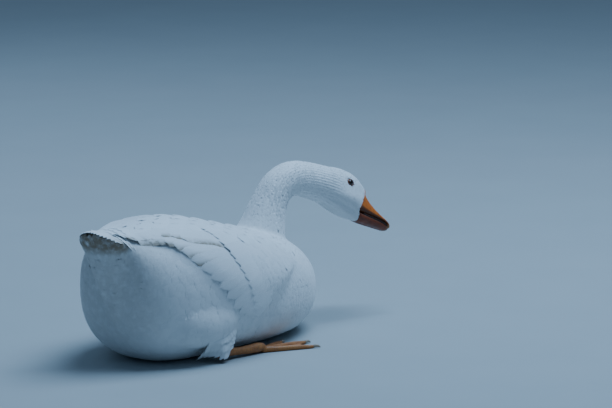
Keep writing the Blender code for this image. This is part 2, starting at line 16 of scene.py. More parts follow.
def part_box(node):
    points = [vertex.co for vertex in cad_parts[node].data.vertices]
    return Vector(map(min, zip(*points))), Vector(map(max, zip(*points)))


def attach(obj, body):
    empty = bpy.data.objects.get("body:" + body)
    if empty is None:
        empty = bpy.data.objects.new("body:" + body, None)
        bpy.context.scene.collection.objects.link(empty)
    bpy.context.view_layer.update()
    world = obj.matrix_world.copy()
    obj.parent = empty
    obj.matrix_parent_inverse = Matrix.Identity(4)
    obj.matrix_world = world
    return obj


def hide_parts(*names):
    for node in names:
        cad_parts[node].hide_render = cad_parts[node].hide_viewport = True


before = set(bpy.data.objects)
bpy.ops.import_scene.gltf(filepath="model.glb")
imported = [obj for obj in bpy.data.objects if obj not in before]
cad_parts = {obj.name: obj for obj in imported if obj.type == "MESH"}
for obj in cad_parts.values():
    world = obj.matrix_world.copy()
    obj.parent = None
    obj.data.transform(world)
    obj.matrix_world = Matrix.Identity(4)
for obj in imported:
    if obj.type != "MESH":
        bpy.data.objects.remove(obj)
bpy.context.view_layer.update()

# ------------------------------------------------------------------ shape tables
# Trunk stations: x, height of back, height of belly, half width
TRUNK = (
    (-0.2420, 0.1840, 0.1180, 0.0400),
    (-0.2390, 0.1875, 0.0920, 0.0510),
    (-0.2300, 0.1905, 0.0520, 0.0660),
    (-0.2080, 0.1940, 0.0170, 0.0840),
    (-0.1700, 0.1980, 0.0000, 0.0990),
    (-0.1200, 0.1995, -0.0040, 0.1080),
    (-0.0600, 0.1885, -0.0040, 0.1120),
    (0.0000, 0.1730, -0.0040, 0.1110),
    (0.0500, 0.1600, -0.0040, 0.1030),
    (0.1000, 0.1470, -0.0030, 0.0870),
    (0.1420, 0.1270, 0.0080, 0.0660),
    (0.1710, 0.1040, 0.0280, 0.0430),
    (0.1870, 0.0780, 0.0510, 0.0150),
)
WAIST = 0.46                 # height of the widest line, as a share of the section's
ROUND_TOP = 2.25             # roundness of the section above and below that line
ROUND_BELLY = 2.45
# The surface that wings and mantle lie on: the trunk with a longer rump
GUIDE = ((-0.3000, 0.1965, 0.1200, 0.0500), (-0.2600, 0.1955, 0.0900, 0.0600)) + TRUNK[2:]
SHELL_GAP = 0.0016           # least height of wings and thighs above what they lie on
SINK = 0.0040                # how far wing and thigh reach into the trunk
SADDLE = 0.0018              # height of the mid-back's feathers between the wings,
SADDLE_REAR_X = -0.225       # and where they lie
SADDLE_LENGTH = 0.245
WING_FRONT_X = 0.082
WING_REAR_X = -0.262
WING_THICK = 0.0075
WING_RIM = 0.0010            # height of the wing's thin edge above its guide
WING_BEND_ROUND = 0.016      # how far the edges of its bend lie behind the middle
WING_TIP_SLANT = 0.030       # how far its lower edge ends before its tips
FOLD = 0.0004                # height of a long feather above what it lies on
THIGH_REAR_X = -0.190
THIGH_LENGTH = 0.098
THIGH_MIDDLE = radians(-23)
THIGH_HALF = radians(15.5)
THIGH_END = radians(2)       # half its angle at either end
THIGH_RIM = 0.0012           # its least height above the gap, and what its middle adds
THIGH_SWELL = 0.0085

TAIL_ROOT_X = -0.2425
TAIL_TIP_X = -0.2860
TAIL_TIP_Z = 0.2035
TAIL_ROOT_Z = 0.1915
TAIL_HALF_ROOT = 0.0440
TAIL_HALF_TIP = 0.0375
TAIL_ROOF = 0.0130           # how far the fan's sides hang below its middle
TAIL_ROUND = 0.021           # how far its outermost feathers end before the middle ones

# Keel of feathers under the tail: x, z of its ends in the middle plane, half width
KEEL_FOOT = (-0.2330, 0.0520)
KEEL_HEAD = (-0.2830, 0.1990)
KEEL_HALF = 0.0260
KEEL_SUNK = 0.020            # how far it starts inside the trunk
KEEL_ROUND = 0.017           # how far its sides end before its middle
KEEL_ROOF = 0.0020           # its least height under the fan
TAIL_LEVEL = 0.0065          # how much higher the fan's feathers leave the rump
TAIL_DROOP = 0.0030          # how far the feathers' tips bend down
FAN_THICK = 0.0013           # from the fan's face down to the feathers that fill the keel
KEEL_SPREAD = 0.0125         # how much wider the feathers under the tail spread the keel

# Neck path: x, y, z, radius
NECK = (
    (0.0740, 0.0000, 0.0770, 0.0610),
    (0.0860, 0.0000, 0.1170, 0.0500),
    (0.0990, -0.0010, 0.1520, 0.0365),
    (0.1130, -0.0020, 0.1850, 0.0285),
    (0.1320, -0.0060, 0.2110, 0.0262),
    (0.1620, -0.0130, 0.2190, 0.0258),
)
NECK_FLAT = 0.93             # breadth of the neck as a share of its height,
NECK_FLAT_HEAD = 0.86        # and close to the head

HEAD_AT = Vector((0.2640, -0.0278, 0.1922))
HEAD_TURN = radians(-10)
HEAD_PITCH = radians(24)
HEAD_ROLL = radians(15)
# Head stations in the head's own frame: x, crown, throat, half width, waist height
HEAD = (
    (-0.0480, 0.0180, -0.0375, 0.0238, -0.0100),
    (-0.0360, 0.0212, -0.0395, 0.0240, -0.0120),
    (-0.0200, 0.0235, -0.0420, 0.0240, -0.0145),
    (-0.0050, 0.0238, -0.0435, 0.0234, -0.0160),
    (0.0080, 0.0222, -0.0442, 0.0216, -0.0165),
    (0.0200, 0.0180, -0.0438, 0.0186, -0.0170),
    (0.0300, 0.0125, -0.0432, 0.0158, -0.0175),
    (0.0400, 0.0060, -0.0424, 0.0140, -0.0190),
)
# Where the feathering ends: corner of the mouth, root of the bill's ridge, chin
GAPE = Vector((0.0200, 0, -0.0300))
CULMEN_BASE = Vector((0.0350, 0, 0.0085))
CHIN = Vector((0.0330, 0, -0.0425))
BILL_TIP_X = 0.0985
BILL_AROUND = 80             # points round each ring of the bill's mesh, and its rings
BILL_RINGS = 230
BILL_CORE = 5                # rings inside the head
NOSTRIL_AT = 0.40            # share of the bill's length
NOSTRIL_DROP = 0.0062        # how far the nostril lies below the bill's ridge
NOSTRIL_HALF = (0.0048, 0.0013)  # half its length and height
NOSTRIL_SLOPE = 0.34
NAIL_AT = 0.845              # share of the bill's length
NAIL_CURVE = 0.05            # how much farther forward its edge lies at the sides
TEETH_PITCH = 0.0017         # of the upper half's cutting edge
RIB_PITCH = 0.0015           # of the lower half's
MOUTH_OVERLAP = 0.0012       # how far the mouth's lining reaches into each half
MOUTH_SHARE = 0.88           # its width as a share of the lower half's
# Bill stations: share of length, culmen, lower edge, half width
BILL_UPPER = (
    (0.00, 0.0095, -0.0300, 0.0144),
    (0.15, 0.0020, -0.0300, 0.0137),
    (0.35, -0.0082, -0.0292, 0.0128),
    (0.55, -0.0168, -0.0284, 0.0122),
    (0.75, -0.0232, -0.0288, 0.0118),
    (0.90, -0.0270, -0.0312, 0.0100),
    (0.97, -0.0300, -0.0338, 0.0070),
    (1.00, -0.0325, -0.0346, 0.0030),
)
BILL_LOWER = (
    (0.00, -0.0312, -0.0432, 0.0130),
    (0.15, -0.0312, -0.0436, 0.0126),
    (0.35, -0.0310, -0.0430, 0.0117),
    (0.55, -0.0308, -0.0418, 0.0108),
    (0.75, -0.0318, -0.0405, 0.0098),
    (0.90, -0.0335, -0.0392, 0.0078),
    (0.955, -0.0345, -0.0380, 0.0040),
)
EYE_RADIUS = 0.0058
IRIS_RADIUS = 0.0042
PUPIL_RADIUS = 0.0024
CORNEA_RISE = 0.035          # how far the clear front bulges, as a share of the radius
CORNEA_HALF = 0.55           # half the angle it takes up
EYE_AT = Vector((-0.0112, 0.0178, 0.0020))
EYE_CLEAR = 0.0060           # radius round the eye without feathers
EYE_SIDE = (0.012, 0.040)    # distances from the head's middle plane where that holds

FOOT_AT = np.array((-0.028, 0.102, 0.0))
FOOT_TURN = radians(6)
TOES = (("inner", -20.0, 0.066, 0.0044), ("middle", 2.0, 0.084, 0.0048),
        ("outer", 24.0, 0.078, 0.0046))
CLAW = 0.0085
CLAW_BACK = 0.0035           # how far a claw starts back in its toe
CLAW_HORN = CLAW + 0.0030    # its whole length
LEG_VOXEL = 0.0010           # cell of the legs' mesh
SCUTE_PITCH = 0.0027         # length of the plates on toes and shank
SCUTE_DEPTH = 0.00030        # depth of the grooves between them
# The grooves get painted shade, darkest at this depth.
SCUTE_FULL_SHADE = 0.0004          # depth at which a groove would be darkest
SHANK_RADIUS = 0.0072

# Curtain of the thigh's loose feathers over the hock
HOCK_X = -0.1195
CURTAIN_FOOT = (0.1095, 0.0035)   # breadth and height of the curtain's lower edge
CURTAIN_FRONT_X = -0.084
CURTAIN_REAR_X = -0.134
CURTAIN_TOP = radians(-22)   # its upper edge, as an angle round the trunk,
CURTAIN_RISE = 0.0045        # and its height above the trunk, behind the front edge
CURTAIN_TUCK = 0.034         # how far its foot draws in behind the hock
CURTAIN_FALL = 0.013         # how far back each feather ends from its root

# ------------------------------------------------------------------ coat sizes
VOXEL = 0.0018               # cell of the skin's mesh
FLOOR_CLEAR = 0.0005         # lowest feather above the floor
SEED = 11
STEP = 1e-4                  # step of the slopes taken on the guide surfaces,
TAIL_STEP = 1e-3             # on the tail's, whose coordinates are shares,
PROBE = 1e-3                 # and of their upright

# Small feathers
SPINE_STEPS = 3              # stations along a feather, less one
TIP_LIFT = 0.00035           # height of a full-sized small feather's tip
FULL_HALF = 0.008            # half width of a full-sized small feather
RIM_PRESS = 0.0011           # how far its rim bends down into the feathers below
SMALL_SOFT = 0.60            # how far its shading follows the body's form
ROOT_DEEPER = 1.08           # depth of its root, as a share of the skin's depth
STERN_X = -0.20              # where the rump falls to the stern, in the goose's frame
LOOSE_SHARE = 0.15           # share of the vent's plumes that stand out
LOOSE_LIFT = (0.0004, 0.0016)
FURROWS = 36                 # rows of feathers round the neck
RIDGE = 0.00075              # height of a row above the grooves beside it
RIDGE_STEP = 0.0003          # step of the slope taken across a row
PIECE_TRIANGLES = 170000     # most triangles in one piece of the coat

# Long feathers
LONG_PRESS = 0.0014          # how far the rims of long feathers bend down
LONG_HALF = 0.0125           # half width from which they bend in full
SOFT_SHARE = 0.6             # how far their shading follows the body's form
PRIMARIES = 5                # long feathers of each wing, by layer
SECONDARIES = 15
COVERTS = 14
TERTIALS = 6
WING_TILT = 0.0004           # how much one edge of their vanes lies above the other
MANTLE_X = (0.066, -0.210)   # first row of the mantle, and where it ends
MANTLE_ROW = 0.019           # distance between its rows
MANTLE_PITCH = 13            # degrees between its feathers
TAIL_FEATHERS = 16
VANE_THICK = 0.00025
SHAFT_RISE = 0.00045         # height of the shaft above its vane
# Stations across and along a vane, for its mesh
VANE_COLUMNS = np.array((-1, -0.82, -0.55, -0.26, -0.07, 0, 0.07, 0.26, 0.55, 0.82, 1.0))
VANE_ROWS = 16
BARBS = 2 * pi / 0.055       # phase of the barbs' waves to one unit of the Vane map

SHIFT = Vector((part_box("tail")[0].x - TAIL_TIP_X, 0.0, 0.0))
rng = np.random.default_rng(SEED)


# ------------------------------------------------------------------ small maths
def smooth(t):
    t = np.clip(t, 0.0, 1.0)
    return t * t * (3 - 2 * t)


def unit(v):
    return v / np.maximum(np.linalg.norm(v, axis=-1, keepdims=True), 1e-12)


def profile(rows, x, column):
    """One column of a station table at x, by monotone cubics, for arrays of x."""
    xs = np.array([r[0] for r in rows])
    ys = np.array([r[column] for r in rows])
    steps = np.diff(ys) / np.diff(xs)
    mean = steps[:-1] + steps[1:]
    inner = np.where(steps[:-1] * steps[1:] > 0,
                     2 * steps[:-1] * steps[1:] / np.where(mean == 0, 1, mean), 0)
    m = np.concatenate(([steps[0]], inner, [steps[-1]]))
    x = np.clip(x, xs[0], xs[-1])
    i = np.clip(np.searchsorted(xs, x, side="right") - 1, 0, len(xs) - 2)
    h = xs[i + 1] - xs[i]
    t = (x - xs[i]) / h
    return (ys[i] * (1 + 2 * t) * (1 - t) ** 2 + h * m[i] * t * (1 - t) ** 2
            + ys[i + 1] * t * t * (3 - 2 * t) + h * m[i + 1] * t * t * (t - 1))


def columns(rows, x, wanted=(1, 2, 3)):
    return [profile(rows, x, column) for column in wanted]


def net(rows, cols, low=0):
    """Shares over a grid: 0 to 1 down its rows, and low to 1 along its columns."""
    return np.linspace(0, 1, rows)[:, None], np.linspace(low, 1, cols)[None, :]


def power(value, exponent):
    return np.sign(value) * np.abs(value) ** exponent


def bump(value, middle, width):
    """Bell of height 1 round a middle value."""
    return np.exp(-((value - middle) / width) ** 2)


def slopes(point, p, q, step=STEP):
    """How far a surface's point moves over two steps of each of its coordinates."""
    return (point(p + step, q) - point(p - step, q),
            point(p, q + step) - point(p, q - step))


def facing(normal, outward):
    """Normals turned round where their outward share is negative."""
    return np.where(outward[..., None] < 0, -normal, normal)


def lifted(points, normal, height):
    return points + normal * np.asarray(height)[..., None]


def end_name(side):
    return "left" if side > 0 else "right"


def catmull(points, count):
    """Smooth curve through rows of numbers, count samples to each span."""
    p = np.vstack((2 * points[0] - points[1], points, 2 * points[-1] - points[-2]))
    out = []
    for i in range(1, len(p) - 2):
        t = np.linspace(0, 1, count, endpoint=False)[:, None]
        out.append(0.5 * (2 * p[i] + (p[i + 1] - p[i - 1]) * t
                          + (2 * p[i - 1] - 5 * p[i] + 4 * p[i + 1] - p[i + 2]) * t ** 2
                          + (3 * p[i] - p[i - 1] - 3 * p[i + 1] + p[i + 2]) * t ** 3))
    return np.vstack(out + [points[-1:]])


# ------------------------------------------------------------------ head frame
def head_matrix():
    turn = Matrix.Rotation(HEAD_TURN, 4, "Z")
    pitch = Matrix.Rotation(HEAD_PITCH, 4, "Y")
    roll = Matrix.Rotation(-HEAD_ROLL, 4, "X")
    return Matrix.Translation(HEAD_AT + SHIFT) @ turn @ pitch @ roll


HEAD_FRAME = head_matrix()
HEAD_AXES = np.array(HEAD_FRAME.to_3x3())
HEAD_ORIGIN = np.array(HEAD_FRAME.translation)


def from_head(p):
    """Points of the head's frame in the shared frame."""
    return p @ HEAD_AXES.T + HEAD_ORIGIN


def to_head(p):
    return (p - HEAD_ORIGIN) @ HEAD_AXES


def place(p):
    """Points of the goose's frame in the shared frame."""
    return p + np.array(SHIFT)


def unplace(p):
    return p - np.array(SHIFT)


# ------------------------------------------------------------------ body shapes
def section(x, angle, rows, offset=0.0):
    """Point of a body cross-section; angle 0 is the left side, pi/2 the top."""
    top, low, half = columns(rows, x)
    middle = low + WAIST * (top - low)
    up = np.sin(angle) >= 0
    reach = np.where(up, top - middle, middle - low)
    p = 2 / np.where(up, ROUND_TOP, ROUND_BELLY)
    y = (half + offset) * power(np.cos(angle), p)
    z = middle + (reach + offset) * power(np.sin(angle), p)
    return np.stack((x + 0 * y, y, z), -1)


def guide_point(x, angle, height, rows=GUIDE):
    """Point at a height above the surface that wings and thighs lie on."""
    along, around = slopes(lambda x, angle: section(x, angle, rows), x, angle)
    normal = unit(np.cross(around, along))
    p = section(x, angle, rows)
    middle = profile(rows, x, 2) + WAIST * (profile(rows, x, 1) - profile(rows, x, 2))
    outward = p[..., 1] * normal[..., 1] + (p[..., 2] - middle) * normal[..., 2]
    return lifted(p, facing(normal, outward), height)


def wing_limits(t):
    """Upper and lower edge angles of the folded wing, t = 0 at the tips, 1 at the bend."""
    upper = radians(77) - radians(4) * smooth(t / 0.25) - radians(24) * smooth((t - 0.6) / 0.4)
    lower = (radians(54) - radians(68) * smooth((t - 0.10) / 0.44)
             + radians(38) * smooth((t - 0.64) / 0.36))
    return upper, lower


def wing_place(t, s):
    """Station and angle of a wing point; s = 0 at the upper edge, 1 at the lower."""
    upper, lower = wing_limits(t)
    x = WING_REAR_X + (WING_FRONT_X - WING_REAR_X) * t
    x = x - WING_BEND_ROUND * smooth((t - 0.8) / 0.2) * (2 * s - 1) ** 2
    x = x + WING_TIP_SLANT * (1 - smooth(t / 0.3)) * s
    return x, upper + (lower - upper) * s


def wing_top(t):
    """Height of the wing's outer face above its guide surface, away from its edges."""
    return SHELL_GAP + WING_THICK * (0.45 + 0.55 * smooth(t / 0.45))


def wing_edge(t, s):
    """Share of the wing's height that is left near its edges."""
    return smooth(np.minimum(np.minimum(2.6 * s + 0.20, 3.2 * (1 - s) + 0.04), 5 * (1 - t)))


def wing_height(x, angle):
    """Height of the folded wing's face above its guide, thin at its edges."""
    t = np.clip((x - WING_REAR_X) / (WING_FRONT_X - WING_REAR_X), 0, 1)
    upper, lower = wing_limits(t)
    return WING_RIM + (wing_top(t) - WING_RIM) * wing_edge(t, (upper - angle) / (upper - lower))


def tail_point(t, s, depth=0.0):
    """Point of the tail fan: t = 0 at the root, 1 at the tips; s from side to side."""
    half = TAIL_HALF_ROOT + (TAIL_HALF_TIP - TAIL_HALF_ROOT) * t
    tip = TAIL_TIP_X + TAIL_ROUND * s * s
    x = TAIL_ROOT_X + (tip - TAIL_ROOT_X) * t
    z = TAIL_ROOT_Z + (TAIL_TIP_Z - TAIL_ROOT_Z) * np.abs(t) ** 1.1 * np.sign(t)
    z = z - (TAIL_ROOF + 0.012 * (1 - t) ** 2) * s * s - depth
    return np.stack((x, half * s, z), -1)


# ------------------------------------------------------------------ mesh helpers
def new_object(name, verts, faces, materials):
    mesh = bpy.data.meshes.new(name)
    mesh.from_pydata(np.asarray(verts).tolist(), [], np.asarray(faces).tolist()
                     if not isinstance(faces, list) else faces)
    mesh.validate()
    obj = bpy.data.objects.new(name, mesh)
    bpy.context.scene.collection.objects.link(obj)
    for material in materials:
        mesh.materials.append(material)
    return obj


def smooth_object(name, verts, faces, mat):
    obj = new_object(name, verts, faces, [mat])
    obj.data.shade_smooth()
    return obj


def set_values(mesh, name, values):
    """Stores a number at each vertex, which the material reads by its name."""
    mesh.attributes.new(name, "FLOAT", "POINT").data.foreach_set(
        "value", values.astype(np.float32))


def mesh_points(mesh):
    points = np.zeros(len(mesh.vertices) * 3)
    mesh.vertices.foreach_get("co", points)
    return points.reshape(-1, 3)


def loft(rings):
    """Closed body through rings (count, around, 3), with a hub in each end."""
    count, n = rings.shape[:2]
    k = np.arange(n)
    nxt = (k + 1) % n
    faces = []
    for r in range(count - 1):
        faces += np.stack((r * n + k, r * n + nxt, r * n + n + nxt, r * n + n + k), 1).tolist()
    verts = np.vstack((rings.reshape(-1, 3), rings[0].mean(0), rings[-1].mean(0)))
    faces += np.stack((nxt, k, np.full(n, count * n)), 1).tolist()
    last = (count - 1) * n
    faces += np.stack((last + k, last + nxt, np.full(n, count * n + 1)), 1).tolist()
    return verts, faces


def plate(inner, outer):
    """Closed body between two grids (rows, cols, 3)."""
    rows, cols = inner.shape[:2]
    n = rows * cols
    faces = []
    for i in range(rows - 1):
        for j in range(cols - 1):
            a = i * cols + j
            b, c, d = a + 1, a + cols + 1, a + cols
            faces += [(a, b, c, d), (d + n, c + n, b + n, a + n)]
    rim = (list(range(cols)) + [i * cols + cols - 1 for i in range(1, rows)]
           + [(rows - 1) * cols + j for j in range(cols - 2, -1, -1)]
           + [i * cols for i in range(rows - 2, 0, -1)])
    for a, b in zip(rim, rim[1:] + rim[:1]):
        faces.append((b, a, a + n, b + n))
    return np.vstack((inner.reshape(-1, 3), outer.reshape(-1, 3))), faces


def gather(parts):
    """Joins (verts, faces) pairs into one."""
    verts, faces, start = [], [], 0
    for v, f in parts:
        verts.append(v)
        faces += [tuple(i + start for i in face) for face in f]
        start += len(v)
    return np.vstack(verts), faces


def mirrored(part):
    verts, faces = part
    return verts * (1, -1, 1), [tuple(reversed(f)) for f in faces]


def remeshed(parts, voxel):
    """One closed surface round all the given bodies."""
    obj = new_object("remesh", *gather(parts), [])
    mod = obj.modifiers.new("remesh", "REMESH")
    mod.mode, mod.voxel_size = "VOXEL", voxel
    graph = bpy.context.evaluated_depsgraph_get()
    mesh = bpy.data.meshes.new_from_object(obj.evaluated_get(graph))
    loops = np.zeros(len(mesh.loops), int)
    mesh.loops.foreach_get("vertex_index", loops)
    bpy.data.objects.remove(obj)
    return mesh_points(mesh), loops.reshape(-1, 4)


def relax(verts, quads, rounds):
    """Laplacian smoothing; rounds holds how many passes each vertex gets."""
    edges = np.vstack([quads[:, [a, (a + 1) % 4]] for a in range(4)])
    count = np.bincount(edges[:, 0], minlength=len(verts))
    for k in range(int(rounds.max())):
        total = np.stack([np.bincount(edges[:, 0], verts[edges[:, 1], c], len(verts))
                          for c in range(3)], 1)
        mean = total / np.maximum(count, 1)[:, None]
        verts = np.where((rounds > k)[:, None], verts + (mean - verts) * 0.5, verts)
    return verts


def vertex_normals(verts, quads):
    a, b, c, d = (verts[quads[:, k]] for k in range(4))
    face = np.cross(c - a, d - b)
    total = np.zeros_like(verts)
    for k in range(4):
        for axis in range(3):
            total[:, axis] += np.bincount(quads[:, k], face[:, axis], len(verts))
    return unit(total)


class Surface:
    """A mesh that points can be laid on, with smooth normals."""

    def __init__(self, verts, quads):
        self.verts, self.quads = verts, quads
        self.tris = np.vstack((quads[:, [0, 1, 2]], quads[:, [0, 2, 3]]))
        self.normals = vertex_normals(verts, quads)
        self.tree = BVHTree.FromPolygons(verts.tolist(), self.tris.tolist())

    def lay(self, points):
        """Nearest points of the surface and the normals there."""
        shape = points.shape
        flat = points.reshape(-1, 3)
        find = self.tree.find_nearest
        found = [find(p) for p in flat.tolist()]
        at = np.array([f[0] for f in found])
        tri = self.tris[np.array([f[2] for f in found])]
        a, b, c = (self.verts[tri[:, k]] for k in range(3))
        n = np.cross(b - a, c - a)
        area = np.maximum((n * n).sum(1), 1e-20)
        wa = (np.cross(b - at, c - at) * n).sum(1) / area
        wb = (np.cross(c - at, a - at) * n).sum(1) / area
        w = np.clip(np.stack((wa, wb, 1 - wa - wb), 1), 0, 1)
        normal = unit((self.normals[tri] * w[..., None]).sum(1))
        return at.reshape(shape), normal.reshape(shape)


# ------------------------------------------------------------------ body axis
NECK_KEYS = np.array([(*place(np.array(k[:3])), k[3]) for k in NECK]
                     + [(*from_head(np.array((HEAD[0][0], 0, (HEAD[0][1] + HEAD[0][2]) / 2))),
                         (HEAD[0][1] - HEAD[0][2]) / 2)])
TRUNK_AXIS = ((0.050, 0, 0.098), (0.000, 0, 0.094), (-0.060, 0, 0.098), (-0.120, 0, 0.108),
              (-0.170, 0, 0.124), (-0.210, 0, 0.146), (-0.240, 0, 0.172), (-0.270, 0, 0.200))
HEAD_AXIS = ((0.050, 0, -0.022), (0.030, 0, -0.017), (0.005, 0, -0.012), (-0.025, 0, -0.010))

AXIS_SAMPLES = 9             # points to each span of the axis


class Axis:
    """The line from bill to tail that the feathers follow, with a frame along it.

    stage runs 0 at the bill, 1 behind the head, 2 at the root of the neck, 3 at the tail.
    """

    def __init__(self):
        head = from_head(np.array(HEAD_AXIS))
        neck = NECK_KEYS[:0:-1, :3]
        trunk = place(np.array(TRUNK_AXIS))
        keys = np.vstack((head, neck, trunk))
        self.at = catmull(keys, AXIS_SAMPLES)
        self.along = unit(np.gradient(self.at, axis=0))
        steps = np.linalg.norm(np.diff(self.at, axis=0), axis=1)
        self.length = np.concatenate(([0], np.cumsum(steps)))
        marks = [0, len(head) * AXIS_SAMPLES, (len(head) + len(neck) - 1) * AXIS_SAMPLES,
                 len(self.at) - 1]
        self.stage = np.interp(self.length, self.length[marks], (0, 1, 2, 3))
        lean = smooth((1.6 - self.stage) / 0.6)[:, None]
        side = np.array((0, 1.0, 0)) * (1 - lean) + HEAD_AXES[:, 1] * lean
        side -= self.along * (side * self.along).sum(1, keepdims=True)
        self.side = unit(side)
        self.up = np.cross(self.side, self.along)

    def spread(self, points):
        """Squared distance of each point to each sample of the axis."""
        return ((points[:, None, :] - self.at[None]) ** 2).sum(2)

    def locate(self, points):
        """Stage, length along the axis and angle round it, 0 on the left and pi/2 on top."""
        flat = points.reshape(-1, 3)
        near = np.concatenate([self.spread(part).argmin(1)
                               for part in np.array_split(flat, len(flat) // 20000 + 1)])
        offset = flat - self.at[near]
        ahead = (offset * self.along[near]).sum(1)
        length = self.length[near] + ahead
        stage = np.interp(length, self.length, self.stage)
        angle = np.arctan2((offset * self.up[near]).sum(1), (offset * self.side[near]).sum(1))
        shape = points.shape[:-1]
        return stage.reshape(shape), length.reshape(shape), angle.reshape(shape)

    def flow(self, points, normals, blur=0.028):
        """Direction in which feathers lie, along the surface towards the tail."""
        gap = self.spread(points)
        weight = np.exp(-(gap - gap.min(1, keepdims=True)) / (2 * blur * blur))
        flow = weight @ self.along
        return unit(flow - normals * (flow * normals).sum(1, keepdims=True))


axis = Axis()


# ------------------------------------------------------------------ flesh shapes
def around(count):
    return np.linspace(0, 2 * pi, count, endpoint=False)


def trunk_body():
    t = np.linspace(0, 1, 120)
    eased = 0.55 * (0.5 - 0.5 * np.cos(pi * t)) + 0.45 * t
    x = TRUNK[0][0] + (TRUNK[-1][0] - TRUNK[0][0]) * eased
    rings = section(x[:, None], around(112)[None, :], TRUNK)
    rings[..., 2] = np.maximum(rings[..., 2], 0.0)
    return loft(place(rings))


def neck_body():
    ghost = np.append(NECK_KEYS[-1, :3] + HEAD_AXES[:, 0] * 0.026, NECK_KEYS[-1, 3])
    keys = np.vstack((NECK_KEYS, ghost))
    path = catmull(keys, 20)[:(len(NECK_KEYS) - 1) * 20 + 1]
    centre, radius = path[:, :3], path[:, 3]
    ahead = unit(np.gradient(centre, axis=0))
    ahead[-1] = HEAD_AXES[:, 0]
    lean = smooth((np.linspace(0, 1, len(path)) - 0.45) / 0.55)
    side = np.array((0, 1.0, 0)) * (1 - lean[:, None]) + HEAD_AXES[:, 1] * lean[:, None]
    side = unit(side - ahead * (side * ahead).sum(1, keepdims=True))
    up = np.cross(ahead, side)
    flat = NECK_FLAT + (NECK_FLAT_HEAD - NECK_FLAT) * lean
    a = around(80)
    across = (radius * flat)[:, None, None] * np.cos(a)[None, :, None] * side[:, None]
    above = radius[:, None, None] * np.sin(a)[None, :, None] * up[:, None]
    return loft(centre[:, None] + across + above)


def oval(top, low, half, waist, angle, high_power, low_power):
    """Height and side offset of an egg-shaped cross-section."""
    up = np.sin(angle) >= 0
    p = 2 / np.where(up, high_power, low_power)
    reach = np.where(up, top - waist, waist - low)
    return half * power(np.cos(angle), p), waist + reach * power(np.sin(angle), p)


def mouth_line(z):
    """Forward limit of the feathering at height z in the head's frame."""
    above = (z - GAPE.z) / (CULMEN_BASE.z - GAPE.z)
    below = (GAPE.z - z) / (GAPE.z - CHIN.z)
    return np.where(z > GAPE.z, GAPE.x + (CULMEN_BASE.x - GAPE.x) * np.minimum(above, 1.2),
                    GAPE.x + (CHIN.x - GAPE.x) * np.minimum(below, 1.2))


def head_side_form(x, z):
    """Share by which the head's half width grows: cheek, jaw groove and throat fold."""
    back = smooth((0.030 - x) / 0.03)
    cheek = 0.07 * bump(z, -0.020, 0.008) * bump(x, -0.004, 0.020)
    groove = -0.17 * bump(z, -0.0335 - 0.10 * (x + 0.01), 0.0040) * back
    dewlap = 0.16 * bump(z, -0.0415, 0.0032) * back
    lore = -0.08 * bump(z, -0.002, 0.007) * bump(x, 0.016, 0.010)
    brow = 0.05 * bump(z, 0.010, 0.0035) * bump(x, EYE_AT.x, 0.011)
    return cheek + groove + dewlap + lore + brow


def head_body():
    x = np.linspace(HEAD[0][0] - 0.006, HEAD[-1][0], 72)[:, None]
    y, z = oval(*columns(HEAD, x, (1, 2, 3, 4)), around(96)[None, :], 2.15, 2.3)
    y = y * (1 + head_side_form(x, z))
    x = np.minimum(x, mouth_line(z))
    return loft(from_head(np.stack((x, y, z), -1)))


def pad(x, angle, height, rows=GUIDE):
    """Closed body from SINK below a guide surface to the given heights above it."""
    x = x + 0 * angle
    return plate(place(guide_point(x, angle, np.full_like(x, -SINK), rows)),
                 place(guide_point(x, angle, height, rows)))


def wing_body():
    """Flesh of the left wing: full over its front, thin where long feathers cover it."""
    t = np.linspace(0.16, 1, 60)[:, None]
    s = np.linspace(0, 1, 36)[None, :]
    x, angle = wing_place(t, s)
    cover = 0.0030 * (1 - smooth((t - 0.50) / 0.14))
    return pad(x, angle, FOLD + (wing_top(t) - cover - FOLD) * wing_edge(t, s))


def thigh_body():
    t, s = net(40, 26, -1)
    angle = THIGH_MIDDLE + s * (THIGH_HALF * np.sqrt(1 - (2 * t - 1) ** 4) + THIGH_END)
    outer = SHELL_GAP + THIGH_RIM + THIGH_SWELL * (1 - s * s) * (1 - (2 * t - 1) ** 2)
    return pad(THIGH_REAR_X + THIGH_LENGTH * t, angle, outer, TRUNK)


def saddle_body():
    """Feathers of the mid-back, which fill the furrow between the folded wings."""
    t = np.linspace(0, 1, 50)[:, None]
    angle = np.linspace(radians(66), radians(114), 30)[None, :]
    swell = smooth(np.minimum(4 * t, 2.2 * (1 - t))) * bump(angle, pi / 2, radians(15))
    return pad(SADDLE_REAR_X + SADDLE_LENGTH * t, angle, SADDLE * swell)


def fan_lift(t):
    """How far the fan's feathers lie above the tail's own face; their tips droop."""
    return TAIL_LEVEL * (1 - t) - TAIL_DROOP * np.clip((t - 0.66) / 0.34, 0, 1) ** 2


def under_tail(x, y):
    """Height of the tail fan's underside above points of the floor plan."""
    t = np.zeros_like(x)
    for _ in range(4):
        s = y / (TAIL_HALF_ROOT + (TAIL_HALF_TIP - TAIL_HALF_ROOT) * t)
        t = np.clip((x - TAIL_ROOT_X) / (TAIL_TIP_X + TAIL_ROUND * s * s - TAIL_ROOT_X), 0, 1)
    return tail_point(t, s)[..., 2] + fan_lift(t) - FAN_THICK


